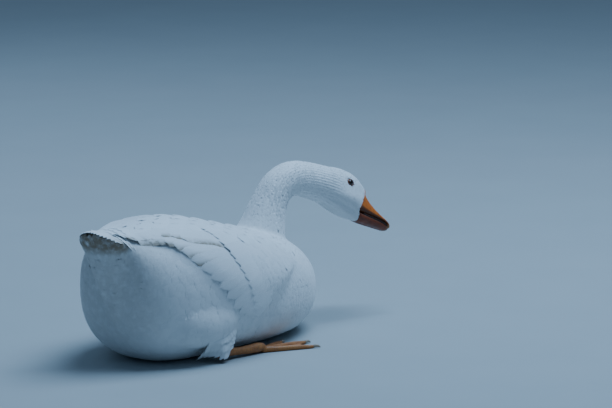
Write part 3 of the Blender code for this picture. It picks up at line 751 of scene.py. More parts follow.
def keel_body():
    """The corner between stern and tail, filled by feathers and sharpest in the middle."""
    t, s = net(40, 33, -1)
    slope = (KEEL_HEAD[1] - KEEL_FOOT[1]) / (KEEL_HEAD[0] - KEEL_FOOT[0])
    front = KEEL_FOOT[0] + KEEL_SUNK
    x = front + (KEEL_HEAD[0] + KEEL_ROUND * s * s - front) * t
    foot = KEEL_FOOT[1] + slope * np.minimum(x - KEEL_FOOT[0], 0.0)
    y = (KEEL_HALF + KEEL_SPREAD * smooth((t - 0.12) / 0.5)) * s
    roof = under_tail(x, y)
    low = np.minimum(foot + (roof - foot) * np.abs(s) ** 2.6, roof - KEEL_ROOF)
    return plate(place(np.stack((x, y, roof), -1)), place(np.stack((x, y, low), -1)))


def outline_surface():
    """The goose's outer surface, to which the tips of the coat reach."""
    sides = [wing_body(), thigh_body()]
    sides += [mirrored(part) for part in sides]
    parts = [trunk_body(), neck_body(), head_body(), saddle_body(), keel_body(), *sides]
    verts, quads = remeshed(parts, VOXEL)
    stage, _, _ = axis.locate(verts)
    rounds = np.interp(stage, (0, 0.8, 1.2, 2.0, 2.2, 2.7, 3), (2, 3, 8, 20, 14, 20, 24))
    verts = relax(verts, quads, rounds.astype(int))
    verts[:, 2] = np.maximum(verts[:, 2], 0.0)
    return Surface(verts, quads)


def skin_depth(stage):
    """How far the skin lies below the tips of the coat."""
    return np.interp(stage, (0, 0.9, 1.3, 2.0, 2.3, 3),
                     (0.0010, 0.0011, 0.0014, 0.0018, 0.0024, 0.0026))


def eye_ring(local):
    """Distance of points in the head's frame from the line through both eyes."""
    return np.hypot(local[..., 0] - EYE_AT.x, local[..., 2] - EYE_AT.z)


def near_eye(points):
    local = to_head(points)
    beside = np.abs(local[..., 1])
    return (eye_ring(local) < EYE_CLEAR) & (beside > EYE_SIDE[0]) & (beside < EYE_SIDE[1])


def carve_sockets(verts):
    """Presses a round hollow into the skin behind each eyeball."""
    local = to_head(verts)
    for side in (1, -1):
        ring = eye_ring(local)
        inside = (ring < EYE_RADIUS * 0.86) & (local[:, 1] * side > 0.008)
        floor = EYE_AT.y - 0.0008 - 0.0014 * (1 - ring / EYE_RADIUS)
        local[:, 1] = np.where(inside, side * np.minimum(local[:, 1] * side, floor), local[:, 1])
    return from_head(local)


surface = outline_surface()
surface_stage, surface_length, surface_angle = axis.locate(surface.verts)


# ------------------------------------------------------------------ materials
class Paint:
    """A Principled material with short hand for its nodes.

    constants are set straight on the shader's own sockets.
    """

    def __init__(self, name, colour, roughness, **constants):
        self.mat = bpy.data.materials.new(name)
        self.mat.use_nodes = True
        self.tree = self.mat.node_tree
        self.shader = self.tree.nodes["Principled BSDF"]
        self.shader.inputs["Base Color"].default_value = (*colour, 1)
        self.shader.inputs["Roughness"].default_value = roughness
        for key, value in constants.items():
            self.shader.inputs[key.replace("_", " ")].default_value = value

    def node(self, kind, inputs=None, **settings):
        made = self.tree.nodes.new(kind)
        for key, value in settings.items():
            setattr(made, key, value)
        for key, value in (inputs or {}).items():
            self.join(value, made.inputs[key])
        return made

    def join(self, value, socket):
        if isinstance(value, bpy.types.NodeSocket):
            self.tree.links.new(value, socket)
        else:
            socket.default_value = value

    def math(self, operation, a, b=0.0):
        return self.node("ShaderNodeMath", {0: a, 1: b}, operation=operation).outputs[0]

    def add(self, a, b):
        return self.math("ADD", a, b)

    def times(self, a, b):
        return self.math("MULTIPLY", a, b)

    def mix(self, factor, a, b):
        made = self.node("ShaderNodeMix", data_type="RGBA")
        self.join(factor, made.inputs["Factor"])
        colours = [s for s in made.inputs if s.type == "RGBA"]
        for value, socket in zip((a, b), colours):
            self.join(value if isinstance(value, bpy.types.NodeSocket) else (*value, 1), socket)
        return [s for s in made.outputs if s.type == "RGBA"][0]

    def noise(self, scale, detail):
        return self.node("ShaderNodeTexNoise", {
            "Scale": scale, "Detail": detail, "Roughness": 0.55,
            "Vector": self.place()}).outputs["Fac"]

    def place(self):
        return self.node("ShaderNodeTexCoord").outputs["Object"]

    def attribute(self, name):
        return self.node("ShaderNodeAttribute", attribute_name=name).outputs["Fac"]

    def ramp(self, value, low, high):
        made = self.node("ShaderNodeMapRange", {0: value, 1: low, 2: high})
        made.interpolation_type = "SMOOTHSTEP"
        return made.outputs[0]

    def colour(self, value):
        self.join(value, self.shader.inputs["Base Color"])

    def bump(self, height, distance, strength):
        made = self.node("ShaderNodeBump", {"Height": height, "Distance": distance,
                                            "Strength": strength})
        self.join(made.outputs[0], self.shader.inputs["Normal"])


def mottled(name, colour, roughness, tones, spots, grain=None, **constants):
    """Material of two tones; spots is their noise, grain a fine noise and its strength."""
    g = Paint(name, colour, roughness, **constants)
    g.colour(g.mix(g.noise(*spots), *tones))
    if grain:
        scale, detail, strength = grain
        g.bump(g.noise(scale, detail), 0.0002, strength)
    return g.mat


FEATHER_WHITE = (0.86, 0.87, 0.88)
FEATHER_CREAM = (0.76, 0.75, 0.71)
FEATHER_GREY = (0.60, 0.62, 0.64)
# Brown of soiled feathers, also used for the painted shade under the tail.
FEATHER_STAIN_AND_SHADE = (0.25, 0.165, 0.085)


def creamy(g):
    """White with faint cream clouds."""
    return g.mix(g.times(g.noise(38, 4), 0.35), FEATHER_WHITE, FEATHER_CREAM)


def feather_material(name, barbs):
    """White feather: fine barbs to both sides of the shaft, faint cream, brown stains and painted
    shade under the tail.
    """
    g = Paint(name, FEATHER_WHITE, 0.72, Sheen_Weight=0.25, Sheen_Roughness=0.5,
              Specular_IOR_Level=0.35)
    base = g.mix(g.times(g.attribute("tone"), 0.22), creamy(g), FEATHER_GREY)
    # Brown blotches by each point's share of stain and of painted shade under the tail.
    blotch = g.times(g.attribute("stain_and_shade"), g.ramp(g.noise(110, 4), 0.12, 0.60))
    g.colour(g.mix(blotch, base, FEATHER_STAIN_AND_SHADE))
    if barbs:
        split = g.node("ShaderNodeSeparateXYZ",
                       {0: g.node("ShaderNodeUVMap", uv_map="Vane").outputs[0]})
        across = g.math("ABSOLUTE", split.outputs[0])
        slant = g.math("SUBTRACT", split.outputs[1], g.times(across, 0.8))
        wave = g.math("SINE", g.times(slant, barbs))
        g.bump(g.add(g.times(wave, 0.5), g.noise(900, 2)), 0.00012, 0.5)
    else:
        g.bump(g.noise(1200, 3), 0.0002, 0.6)
    return g.mat


down = feather_material("white_down", 0)
vane = feather_material("white_vane", BARBS)


# ------------------------------------------------------------------ feather pieces
def plate_pattern(rows, cols):
    """Faces of a thin plate whose two sides share their rim, and its bottom's points."""
    top = np.arange((rows + 1) * (cols + 1)).reshape(rows + 1, cols + 1)
    bottom = top.copy()
    inner = (rows - 1) * (cols - 1)
    bottom[1:-1, 1:-1] = top.size + np.arange(inner).reshape(rows - 1, cols - 1)
    faces = []
    for grid, order in ((top, (0, 1, 2, 3)), (bottom, (3, 2, 1, 0))):
        corners = np.stack((grid[:-1, :-1], grid[1:, :-1], grid[1:, 1:], grid[:-1, 1:]), -1)
        faces.append(corners.reshape(-1, 4)[:, order])
    return np.vstack(faces), top.size, inner


def plates_object(name, top, normal, thickness, across, along, patch, stain_and_shade, mat, soft):
    """Mesh of many thin plates.

    top and normal are (count, rows+1, cols+1, 3); across and along, in metres, are the
    feather's own coordinates; patch is the unwrap of each root; the stain share gives each
    point's brown stain and painted shade; soft is how far the shading follows normal and
    not the plate's own form.
    """
    count, rows, cols = top.shape[0], top.shape[1] - 1, top.shape[2] - 1
    faces, n_top, inner = plate_pattern(rows, cols)

    def both(values):
        flat = values.reshape(count, n_top, -1)
        return np.concatenate((flat, values[:, 1:-1, 1:-1].reshape(count, inner, -1)), 1)

    points = both(top)
    points[:, n_top:] -= (normal[:, 1:-1, 1:-1].reshape(count, inner, 3)
                          * thickness[:, None, None])
    points[..., 2] = np.maximum(points[..., 2], FLOOR_CLEAR)
    size = n_top + inner
    all_faces = (faces[None] + (np.arange(count) * size)[:, None, None]).reshape(-1, 4)
    obj = new_object(name, points.reshape(-1, 3), all_faces, [mat])
    mesh = obj.data
    if len(mesh.polygons) != len(all_faces):
        raise RuntimeError(name + ": some feathers have faces of no area")
    corner = all_faces.reshape(-1)
    soft_normals(mesh, top, normal, faces, count, soft)
    spot = np.stack((both(across)[..., 0], both(along)[..., 0]), -1)
    scale = np.abs(spot).max((1, 2), keepdims=True)
    bake = patch[:, None] + 0.0015 * spot / scale
    for layer, uv in (("OFBake", bake), ("Vane", spot * 100)):
        mesh.uv_layers.new(name=layer).uv.foreach_set(
            "vector", uv.reshape(-1, 2)[corner].ravel().astype(np.float32))
    tone = np.repeat(rng.random(count), size)
    set_values(mesh, "tone", tone)
    # Each point's share of brown stain and of painted shade under the tail.
    set_values(mesh, "stain_and_shade", both(stain_and_shade)[..., 0].ravel())
    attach(obj, "root")
    return obj


def soft_normals(mesh, top, normal, faces, count, soft):
    """Shades plates between their own form and the body's, as soft edges do."""
    own = unit(np.cross(np.gradient(top, axis=1), np.gradient(top, axis=2)))
    shown = unit(own * (1 - soft) + normal * soft).reshape(count, -1, 3)
    half = len(faces) // 2
    upper = shown[:, faces[:half]].reshape(count, -1, 3)
    lower = -np.repeat(own.reshape(count, -1, 3)[:, faces[:half, :1]], 4, 2).reshape(count, -1, 3)
    loops = np.concatenate((upper, lower), 1).reshape(-1, 3)
    mesh.shade_smooth()
    mesh.normals_split_custom_set(loops.astype(np.float32))


def unwrap(points):
    """Place on a map of the skin: along the body's axis and round it, cut at the belly."""
    _, length, angle = axis.locate(points)
    turn = ((angle + pi / 2) % (2 * pi)) / (2 * pi)
    return np.stack((0.01 + 0.98 * length / axis.length[-1], 0.01 + 0.98 * turn), -1)


def body_stain_and_shade(points):
    """Share of brown on the coat and skin: soiling of stern, belly and the feet's flank, and
    painted shade under the tail.
    """
    p = unplace(points)
    low = smooth((0.035 - p[..., 2]) / 0.05) * 0.12
    stern = smooth((STERN_X - p[..., 0]) / 0.05) * smooth((0.20 - p[..., 2]) / 0.05) * 0.26
    # Painted shade: dark brown just under the tail's overhang, where its shadow falls.
    painted_shade_under_tail = smooth((-0.238 - p[..., 0]) / 0.014) * smooth((p[..., 2] - 0.158) / 0.022) * 0.90
    painted_shade_under_tail = painted_shade_under_tail * smooth(0.2 + (under_tail(p[..., 0], p[..., 1]) - p[..., 2]) / 0.002)
    return np.maximum(low + stern, painted_shade_under_tail)


# ------------------------------------------------------------------ small feathers
def furrow(points):
    """Height of the lengthwise ridges in which neck feathers lie."""
    stage, _, angle = axis.locate(points)
    fade = smooth((stage - 0.72) / 0.35) * smooth((2.02 - stage) / 0.35)
    wave = np.cos(FURROWS * angle + 1.5 * np.sin(stage * 5))
    return RIDGE * fade * ((0.5 + 0.5 * wave) ** 0.6 - 0.65)


def ridged(points, normal, side):
    """Height of the ridges at the points, and the normal tilted by their slope."""
    slope = (furrow(points + side * RIDGE_STEP) - furrow(points - side * RIDGE_STEP))
    slope = slope / (2 * RIDGE_STEP)
    return furrow(points), unit(normal - side * slope[..., None])


def scatter(spacing, keep, tries=7):
    """Seeded roots on the outline surface, each at least its spacing from the others."""
    a, b, c = (surface.verts[surface.tris[:, k]] for k in range(3))
    stage = surface_stage[surface.tris].mean(1)
    middle = (a + b + c) / 3
    size = spacing(stage, middle)
    area = np.linalg.norm(np.cross(b - a, c - a), axis=1) / 2
    weight = area / size ** 2 * keep(stage, middle)
    count = int(weight.sum() * tries)
    pick = rng.choice(len(weight), count, p=weight / weight.sum())
    u, v = rng.random((2, count))
    over = u + v > 1
    u, v = np.where(over, 1 - u, u)[:, None], np.where(over, 1 - v, v)[:, None]
    points = a[pick] + u * (b - a)[pick] + v * (c - a)[pick]
    chosen = thin_out(points, size[pick])
    points = points[chosen]
    return points, size[pick][chosen]


def thin_out(points, radii):
    """Indices of points taken one by one where no earlier one is too near."""
    cell = radii.max()
    grid, chosen = {}, []
    near = [(i, j, k) for i in (-1, 0, 1) for j in (-1, 0, 1) for k in (-1, 0, 1)]
    keys = np.floor(points / cell).astype(int).tolist()
    for index, ((i, j, k), p, r) in enumerate(zip(keys, points.tolist(), radii.tolist())):
        limit = r * r
        free = True
        for di, dj, dk in near:
            for x, y, z in grid.get((i + di, j + dj, k + dk), ()):
                if (x - p[0]) ** 2 + (y - p[1]) ** 2 + (z - p[2]) ** 2 < limit:
                    free = False
                    break
            if not free:
                break
        if free:
            grid.setdefault((i, j, k), []).append(p)
            chosen.append(index)
    return np.array(chosen)


def size_share(half):
    """Share of the full size, for feathers of these half widths."""
    return np.minimum(half / FULL_HALF, 1.0)[:, None, None]


def rim_share(u, v, start, span):
    """1 on a feather's rim; its tip begins to bend at start, a share of its length."""
    return np.maximum(np.abs(v) ** 8, np.clip((u - start) / span, 0, 1) ** 1.5)


def rounding(u, start, span, share):
    """Share of its width that a feather keeps towards its round tip."""
    return np.sqrt(1 - share * np.clip((u - start) / span, 0, 1) ** 2)


def plume_lift(points):
    """How far the loose plumes of the vent stand out, beside the keel under the tail."""
    p = unplace(points)
    rear = smooth((-0.226 - p[..., 0]) / 0.02) * smooth((0.175 - p[..., 2]) / 0.03)
    loose = rng.random(p.shape[:-1]) < LOOSE_SHARE
    return rear * loose * rng.uniform(*LOOSE_LIFT, p.shape[:-1])


def spines(roots, length, wander):
    """Stations along each feather, laid on the surface and bent along the flow."""
    p, normal = surface.lay(roots)
    way = axis.flow(p, normal)
    side = np.cross(normal, way)
    way = unit(way * np.cos(wander)[:, None] + side * np.sin(wander)[:, None])
    stations = [p]
    for _ in range(SPINE_STEPS):
        p, normal = surface.lay(p + way * (length / SPINE_STEPS)[:, None])
        stations.append(p)
        way = way * 0.6 + axis.flow(p, normal) * 0.4
        way = unit(way - normal * (way * normal).sum(1, keepdims=True))
    return np.stack(stations, 1)


def small_feathers(name, roots, size, along, across, long, wide, rag, mat):
    """One piece of small overlapping feathers that grow at the roots.

    along and across are the stations of their grid, 0..1 and -1..1.
    """
    count = len(roots)
    length = size * long * rng.uniform(0.85, 1.15, count)
    half = size * wide * rng.uniform(0.85, 1.12, count)
    stations = spines(roots, length, rng.normal(0, 0.10, count))
    keep = ~near_eye(stations).any(1)
    stations, length, half = stations[keep], length[keep], half[keep]
    count = len(stations)
    u, v = np.array(along)[None, :, None], np.array(across)[None, None, :]
    ragged = rng.uniform(-1, 1, (count, 1, len(across))) * rag
    reach = u * (1 - 0.16 * v * v * u * u) + ragged * u ** 5
    width = (0.42 + 0.58 * smooth(u / 0.5)) * rounding(u, 0.6, 0.4, 0.92)
    lateral = half[:, None, None] * width * v
    # place on the surface: along the spine, then across it
    spot = np.clip(reach, 0, 1.2) * SPINE_STEPS
    i = np.minimum(spot.astype(int), SPINE_STEPS - 1)
    f = (spot - i)[..., None]
    each = np.arange(count)[:, None, None]
    here, there = stations[each, i], stations[each, i + 1]
    ahead = unit(there - here)
    _, base_normal = surface.lay(stations[:, 1])
    side = unit(np.cross(base_normal[:, None, None], ahead))
    guess = here + (there - here) * f + side * lateral[..., None]
    at, normal = surface.lay(guess)
    # height above it: roots sink to the skin, tips rise, sides and rims bend down
    stage, _, _ = axis.locate(stations[:, 1])
    depth = (skin_depth(stage) * ROOT_DEEPER)[:, None, None]
    lift = rng.uniform(0.2, 1.0, (count, 1, 1)) * TIP_LIFT * size_share(half)
    camber = 0.035 * depth * v * v
    press = RIM_PRESS * size_share(half) * rim_share(u, v, 0.86, 0.14)
    height = -depth * (1 - u) ** 4.5 + lift * u ** 2 - camber - press
    height = height + plume_lift(stations[:, 1])[:, None, None] * u * u
    shade = normal
    if (stage.min() < 2.05) and (stage.max() > 0.7):
        ridge, shade = ridged(at, normal, side + 0 * at)
        height = height + ridge
    top = lifted(at, normal, height)
    far = reach * length[:, None, None]
    return plates_object(name, top, shade, 0.03 * half.clip(0, 0.006), lateral + 0 * far,
                         far, unwrap(stations[:, 0]), body_stain_and_shade(top), mat, SMALL_SOFT)


# ------------------------------------------------------------------ long feathers
def wing_guide(x, angle, height):
    return place(guide_point(x, angle, height))


def tail_guide(t, s, height):
    """Point at a height above the tail fan's feathers."""
    along, over = slopes(tail_point, t, s, TAIL_STEP)
    normal = unit(np.cross(over, along))
    p = tail_point(t, s) + np.array((0, 0, 1.0)) * fan_lift(t)[..., None]
    return place(lifted(p, facing(normal, normal[..., 2]), height))


def curtain_point(x, q):
    """Curtain of loose feathers from the thigh's swelling, q = 0, down past the hock, q = 1."""
    front = smooth((CURTAIN_FRONT_X - x) / 0.020)
    high = section(x, CURTAIN_TOP, TRUNK, CURTAIN_RISE * front)
    y0, z0 = high[..., 1], high[..., 2]
    y1 = CURTAIN_FOOT[0] - CURTAIN_TUCK * smooth((HOCK_X - x) / 0.022)
    bend = 2 * q * (1 - q)
    y = y0 * (1 - q) ** 2 + (y0 + 0.004 * (2 * front - 1)) * bend + y1 * q * q
    z = z0 * (1 - q) ** 2 + 0.50 * z0 * bend + CURTAIN_FOOT[1] * q * q
    return np.stack((x + 0 * y, y, z), -1)


def curtain_guide(x, q, height):
    normal = unit(np.cross(*slopes(curtain_point, x, q)))
    return place(lifted(curtain_point(x, q), facing(normal, normal[..., 1]), height))


def blade(start, end, half, root, tip, bow=0.0, tilt=0.0, edge_stain_and_shade=0.0):
    """One long feather: its ends on the guide, half width, heights at root and tip."""
    return (*start, *end, half, root, tip, bow, tilt, edge_stain_and_shade)


def curtain_rows():
    """The thigh's loose feathers, the longest and lowest row first."""
    spec = []
    for q0, q1, lift, count in ((0.05, 0.97, 0.0, 13), (-0.05, 0.72, 0.0008, 12),
                                (-0.15, 0.42, 0.0014, 11)):
        for f in np.linspace(0, 1, count):
            x0 = CURTAIN_FRONT_X + (CURTAIN_REAR_X - CURTAIN_FRONT_X) * f
            end = q1 * (0.42 + 0.58 * smooth(f / 0.5) - 0.12 * rng.random())
            spec.append(blade((x0, q0), (x0 - CURTAIN_FALL, end), 0.0058, lift - 0.0070, lift,
                              tilt=0.0002, edge_stain_and_shade=0.2))
    return spec


def blades(name, guide, spec, mat, side=1, tip=0.82, rag=0.010, ground=None, soft=SOFT_SHARE):
    """Long shafted feathers laid on a guide surface.

    spec holds rows made by blade(): bow is that of the shaft, tilt is the vane's
    across, and the edge share the brown of its lower edge, stain on wing and thigh
    and painted shade on the coverts under the tail.  tip is the share of the length where
    the vane begins to round off, rag how uneven its end is.  ground gives the height
    above the guide from which the heights are counted.
    """
    spec = np.array(spec)[:, :, None, None]
    p0, q0, p1, q1, half, h0, h1, bow, tilt, edge_stain_and_shade = (spec[:, k] for k in range(10))
    count = len(spec)
    u = np.sin(np.linspace(0, pi / 2, VANE_ROWS + 1))[None, :, None]
    v = VANE_COLUMNS[None, None, :]
    rough = rng.normal(0, rag, (count, 1, len(VANE_COLUMNS)))
    reach = u * (1 - 0.085 * v * v * u ** 4) + rough * u ** 8
    p = p0 + (p1 - p0) * reach
    q = q0 + (q1 - q0) * reach + bow * reach * (1 - reach)
    # the way across the shaft, as steps of the guide's two coordinates
    flat = np.zeros_like(p)
    by_p, by_q = (way / (2 * STEP) for way in slopes(lambda p, q: guide(p, q, flat), p, q))
    shaft = by_p * (p1 - p0)[..., None] + by_q * (q1 - q0 + bow * (1 - 2 * reach))[..., None]
    length = np.linalg.norm(shaft, axis=-1).mean((1, 2))
    normal = unit(guide(p, q, flat + PROBE) - guide(p, q, flat))
    across = np.cross(normal, unit(shaft))
    pp, pq, qq = (by_p * by_p).sum(-1), (by_p * by_q).sum(-1), (by_q * by_q).sum(-1)
    ap, aq = (across * by_p).sum(-1), (across * by_q).sum(-1)
    det = pp * qq - pq * pq
    step_p, step_q = (ap * qq - aq * pq) / det, (aq * pp - ap * pq) / det
    # the vane's outline, then the height of each of its points
    width = (0.22 + 0.78 * smooth(u / 0.2)) * rounding(u, tip, 1 - tip, 0.97)
    width = width * vane_splits(count, u, v)
    lateral = half * width * v
    shaft = SHAFT_RISE * np.maximum(0, 1 - np.abs(v) / 0.12) * (1 - 0.7 * u)
    press = LONG_PRESS * np.minimum(half / LONG_HALF, 1) ** 2 * rim_share(u, v, 0.93, 0.07)
    height = (h1 + (h0 - h1) * (1 - u) ** 1.8 - 0.0015 * (1 - u) ** 4 - tilt * v
              - half * 0.05 * v * v - press + shaft)
    p, q = p + step_p * lateral, q + step_q * lateral
    top = guide(p, q, height if ground is None else height + ground(p, q))
    along = reach * length[:, None, None]
    # Brown lower edge: stain on wings and thighs, painted shade on the coverts under the tail.
    edge_stain_and_shade_share = edge_stain_and_shade * smooth((-v - 0.35) / 0.5) * smooth((u - 0.30) / 0.2)
    lateral = lateral + 0 * along
    edge_stain_and_shade_share = edge_stain_and_shade_share + 0 * along
    if side < 0:
        mirror = np.array((1.0, -1.0, 1.0))
        top, normal = (top * mirror)[:, :, ::-1], (normal * mirror)[:, :, ::-1]
        lateral, along, edge_stain_and_shade_share = (a[:, :, ::-1] for a in (lateral, along, edge_stain_and_shade_share))
    # Brown share of each point: stain, and painted shade under the tail.
    stain_and_shade = np.maximum(edge_stain_and_shade_share, body_stain_and_shade(top))
    return plates_object(name, top, normal, np.full(count, VANE_THICK), lateral, along,
                         unwrap(top[:, 0, len(VANE_COLUMNS) // 2]), stain_and_shade, mat, soft)


def vane_splits(count, u, v):
    """Narrow notches where the barbs of a vane's edge have parted."""
    at = rng.uniform(0.45, 0.97, (count, 1, 1, 2))
    which = rng.choice((-1, 1), (count, 1, 1, 2))
    deep = rng.uniform(0.04, 0.16, (count, 1, 1, 2))
    near = bump(u[..., None], at, 0.03) * (v[..., None] * which > 0.7)
    return 1 - (deep * near).sum(-1)


def wing_rows():
    """The left wing's long feathers, from the lowest layer to the highest."""
    def feather(start, end, half, sink, rise, bow=0.0, edge_stain_and_shade=0.0):
        return blade(wing_place(*start), wing_place(*end), half, -sink, rise, bow, WING_TILT, edge_stain_and_shade)

    primaries = [feather((0.42 - 0.02 * i, 0.36 + 0.05 * i), (0.028 * i, 0.14 + 0.10 * i),
                         0.0090, 0.0060, FOLD, edge_stain_and_shade=0.8) for i in range(PRIMARIES)]
    secondaries = []
    for f in np.linspace(0, 1, SECONDARIES):
        t1 = 0.045 + 0.52 * f
        secondaries.append(feather((t1 + 0.27, 0.34 + 0.30 * f),
                                   (t1, 0.58 + 0.39 * smooth(2.2 * f)),
                                   0.0122, 0.0025, FOLD, 0.04, 0.75 * (f < 0.45)))
    greater = [feather((0.60 + 0.17 * f, 0.14 + 0.64 * f), (0.40 + 0.185 * f, 0.20 + 0.77 * f),
                       0.0128, 0.0030, 0.0009, 0.03) for f in np.linspace(0, 1, COVERTS)]
    tertials = [feather((0.52 + 0.10 * f, 0.18 + 0.26 * f), (0.035 + 0.22 * f, 0.14 + 0.30 * f),
                        0.0145, 0.0040, 0.0015 - 0.0004 * f, 0.05, 0.9 * (f > 0.55))
                for f in np.linspace(1, 0, TERTIALS)]
    return {"secondaries": primaries + secondaries, "coverts": greater, "tertials": tertials}


def back_height(x, angle):
    """Height of the finished back above the guide, over the folded wings and between them."""
    wing = wing_height(x, np.minimum(angle, pi - angle)) + FOLD
    return np.maximum(wing, SADDLE * smooth((0.02 - x) / 0.10))


def mantle_rows(centre):
    """Broad feathers of shoulders and back, which cover the upper edges of the wings."""
    spec = []
    for row, x0 in enumerate(np.arange(*MANTLE_X, -MANTLE_ROW)):
        span = 44 if x0 > -0.06 else 30 if x0 > -0.11 else 17
        for off in np.arange(MANTLE_PITCH / 2 * (row % 2), span, MANTLE_PITCH):
            if off == 0 and not centre:
                continue
            a0 = radians(90 - off)
            long = 0.050 + 0.010 * smooth((0.03 - x0) / 0.12)
            spec.append(blade((x0, a0), (x0 - long, a0 - radians(0.10 * off)), 0.0142,
                              -0.0032, FOLD, tilt=0.0002 * (off > 0)))
    return spec


def tail_rows():
    """Tail feathers, the middle pair uppermost, then the coverts over and under them."""
    feathers, upper, under = [], [], []
    middle = (TAIL_FEATHERS - 1) / 2
    for i in range(TAIL_FEATHERS):
        share = (i - middle) / middle
        drop = 0.0002 + 0.00022 * abs(i - middle)
        feathers.append(blade((-0.55, 0.50 * share), (0.99, 0.90 * share), 0.0078,
                              -drop - 0.0015, -drop, tilt=-0.0002 * np.sign(share)))
    feathers.sort(key=lambda f: -abs(f[3]))
    for row, (reach, lift) in enumerate(((0.42, 0.0002), (0.12, 0.0012), (-0.18, 0.0022))):
        for i in range(11):
            share = (i - 5 + 0.5 * (row % 2)) / 5.5
            upper.append(blade((reach - 1.15, 0.70 * share), (reach, 0.94 * share), 0.0092,
                               lift - 0.0030, lift))
    # Coverts under the tail: their brown lower edges are painted shade under the fan.
    for row, reach in enumerate((0.80, 0.45, 0.10)):
        for i in range(9):
            share = (i - 4 + 0.5 * (row % 2)) / 4.5
            deep = -0.0030 - 0.0030 * (1 - reach)
            under.append(blade((reach - 0.90, 0.60 * share), (reach, 0.80 * share), 0.0085,
                               deep - 0.003, deep, edge_stain_and_shade=0.9))
    return feathers, upper, under


# ------------------------------------------------------------------ bill
bill_length = BILL_TIP_X - CULMEN_BASE.x


def bill_grid(rows, front_low, high_power, low_power):
    """Rings of half a bill in the head's frame, with each point's station and height share."""
    s = rows[-1][0] * np.linspace(0, 1, BILL_RINGS)[:, None] ** 0.92
    top, low, half = columns(rows, s)
    y, z = oval(top, low, half, low + (top - low) * front_low, around(BILL_AROUND)[None, :],
                high_power, low_power)
    lean = (1 - s) ** 3
    x = (mouth_line(z) + 0.0008) * lean + (CULMEN_BASE.x + bill_length * s) * (1 - lean)
    return np.stack((x, y, z), -1), s + 0 * y, (z - low) / (top - low)


def bill_half(end, rows, front_low, powers, detail, mat):
    """One half of the bill, with its relief and a narrower root inside the head."""
    grid, s, share = bill_grid(rows, front_low, *powers)
    over = np.roll(grid, -1, 1) - np.roll(grid, 1, 1)
    normal = unit(np.cross(np.gradient(grid, axis=0), over))
    normal = facing(normal, (normal * (grid - grid.mean(1, keepdims=True))).sum(-1))
    rise, masks = detail(grid, s, share)
    grid = lifted(grid, normal, rise * smooth(s / 0.02) * smooth((rows[-1][0] - s) / 0.02))
    back = np.linspace(-0.0050, -0.0008, BILL_CORE)[:, None, None]
    grid = np.concatenate((grid[:1] * (1, 0.93, 1) + back * (1, 0, 0), grid))
    obj = smooth_object("bill_%s_shell" % end, *loft(from_head(grid)), mat)
    for label, values in masks.items():
        values = np.concatenate((np.repeat(values[:1], BILL_CORE, 0), values)).ravel()
        set_values(obj.data, label, np.concatenate((values, values[:1], values[-1:])))
    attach(obj, "root")
    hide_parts("bill_" + end)


def upper_detail(grid, s, share):
    """Nostrils, nail, ridge of the culmen and the toothed cutting edge."""
    x, y, z = (grid[..., k] for k in range(3))
    slot_x = CULMEN_BASE.x + NOSTRIL_AT * bill_length
    slot_z = profile(BILL_UPPER, NOSTRIL_AT, 1) - NOSTRIL_DROP - NOSTRIL_SLOPE * (x - slot_x)
    reach = np.hypot((x - slot_x) / NOSTRIL_HALF[0], (z - slot_z) / NOSTRIL_HALF[1])
    nostril = np.exp(-reach ** 4)
    lip = bump(reach, 1.35, 0.3)
    past_nail = s - NAIL_AT - NAIL_CURVE * (np.abs(y) / 0.008) ** 2
    nail = smooth(past_nail / 0.02)
    groove = bump(past_nail, 0, 0.012)
    teeth = bump(share, 0.10, 0.10) * smooth((0.80 - s) / 0.05)
    comb = np.cos(2 * pi * x / TEETH_PITCH)
    furrow_line = bump(share, 0.30, 0.05) * smooth((0.80 - s) / 0.1) * smooth((s - 0.1) / 0.1)
    rise = (-0.0011 * nostril + 0.00025 * lip + 0.0004 * nail - 0.00035 * groove
            + 0.00028 * teeth * comb - 0.00025 * furrow_line)
    band = smooth((0.30 - share) / 0.08) * smooth((0.93 - s) / 0.08) * smooth((s - 0.02) / 0.06)
    # Painted shade in the nostril's hollow, between the teeth and in the groove before the nail;
    # band darkens the lower edge.
    dark = 0.9 * nostril + 0.35 * teeth * (comb < 0) + 0.15 * groove + 0.82 * band
    return rise, {"nail": nail, "dark": np.clip(dark, 0, 1), "ridge": smooth((share - 0.6) / 0.3)}


def lower_detail(grid, s, share):
    """Fine ribs along the edge and the soft furrow between the jaw bones."""
    x, y, _ = (grid[..., k] for k in range(3))
    ribs = bump(share, 0.86, 0.12) * smooth((0.82 - s) / 0.05)
    comb = np.cos(2 * pi * x / RIB_PITCH)
    under = smooth((0.25 - share) / 0.15) * bump(y, 0, 0.0035) * smooth((0.8 - s) / 0.2)
    nail = smooth((s - 0.82) / 0.03)
    rise = 0.00022 * ribs * comb - 0.0007 * under + 0.0002 * nail
    # Painted shade between the ribs and along the top edge, under the upper half.
    dark = 0.4 * ribs * (comb < 0) + 0.6 * smooth((share - 0.72) / 0.12)
    return rise, {"nail": nail, "dark": np.clip(dark, 0, 1)}


# Colours of each half of the bill: light, deep, nail; the lower half's are the orange darkened as
# painted shade
UPPER_TONES = ((0.74, 0.165, 0.016), (0.52, 0.105, 0.012), (0.60, 0.30, 0.15))
LOWER_TONES_SHADED = ((0.21, 0.034, 0.005), (0.12, 0.020, 0.003), (0.26, 0.085, 0.030))
BILL_RIDGE = (0.72, 0.15, 0.025)
BILL_DARK = (0.080, 0.022, 0.005)


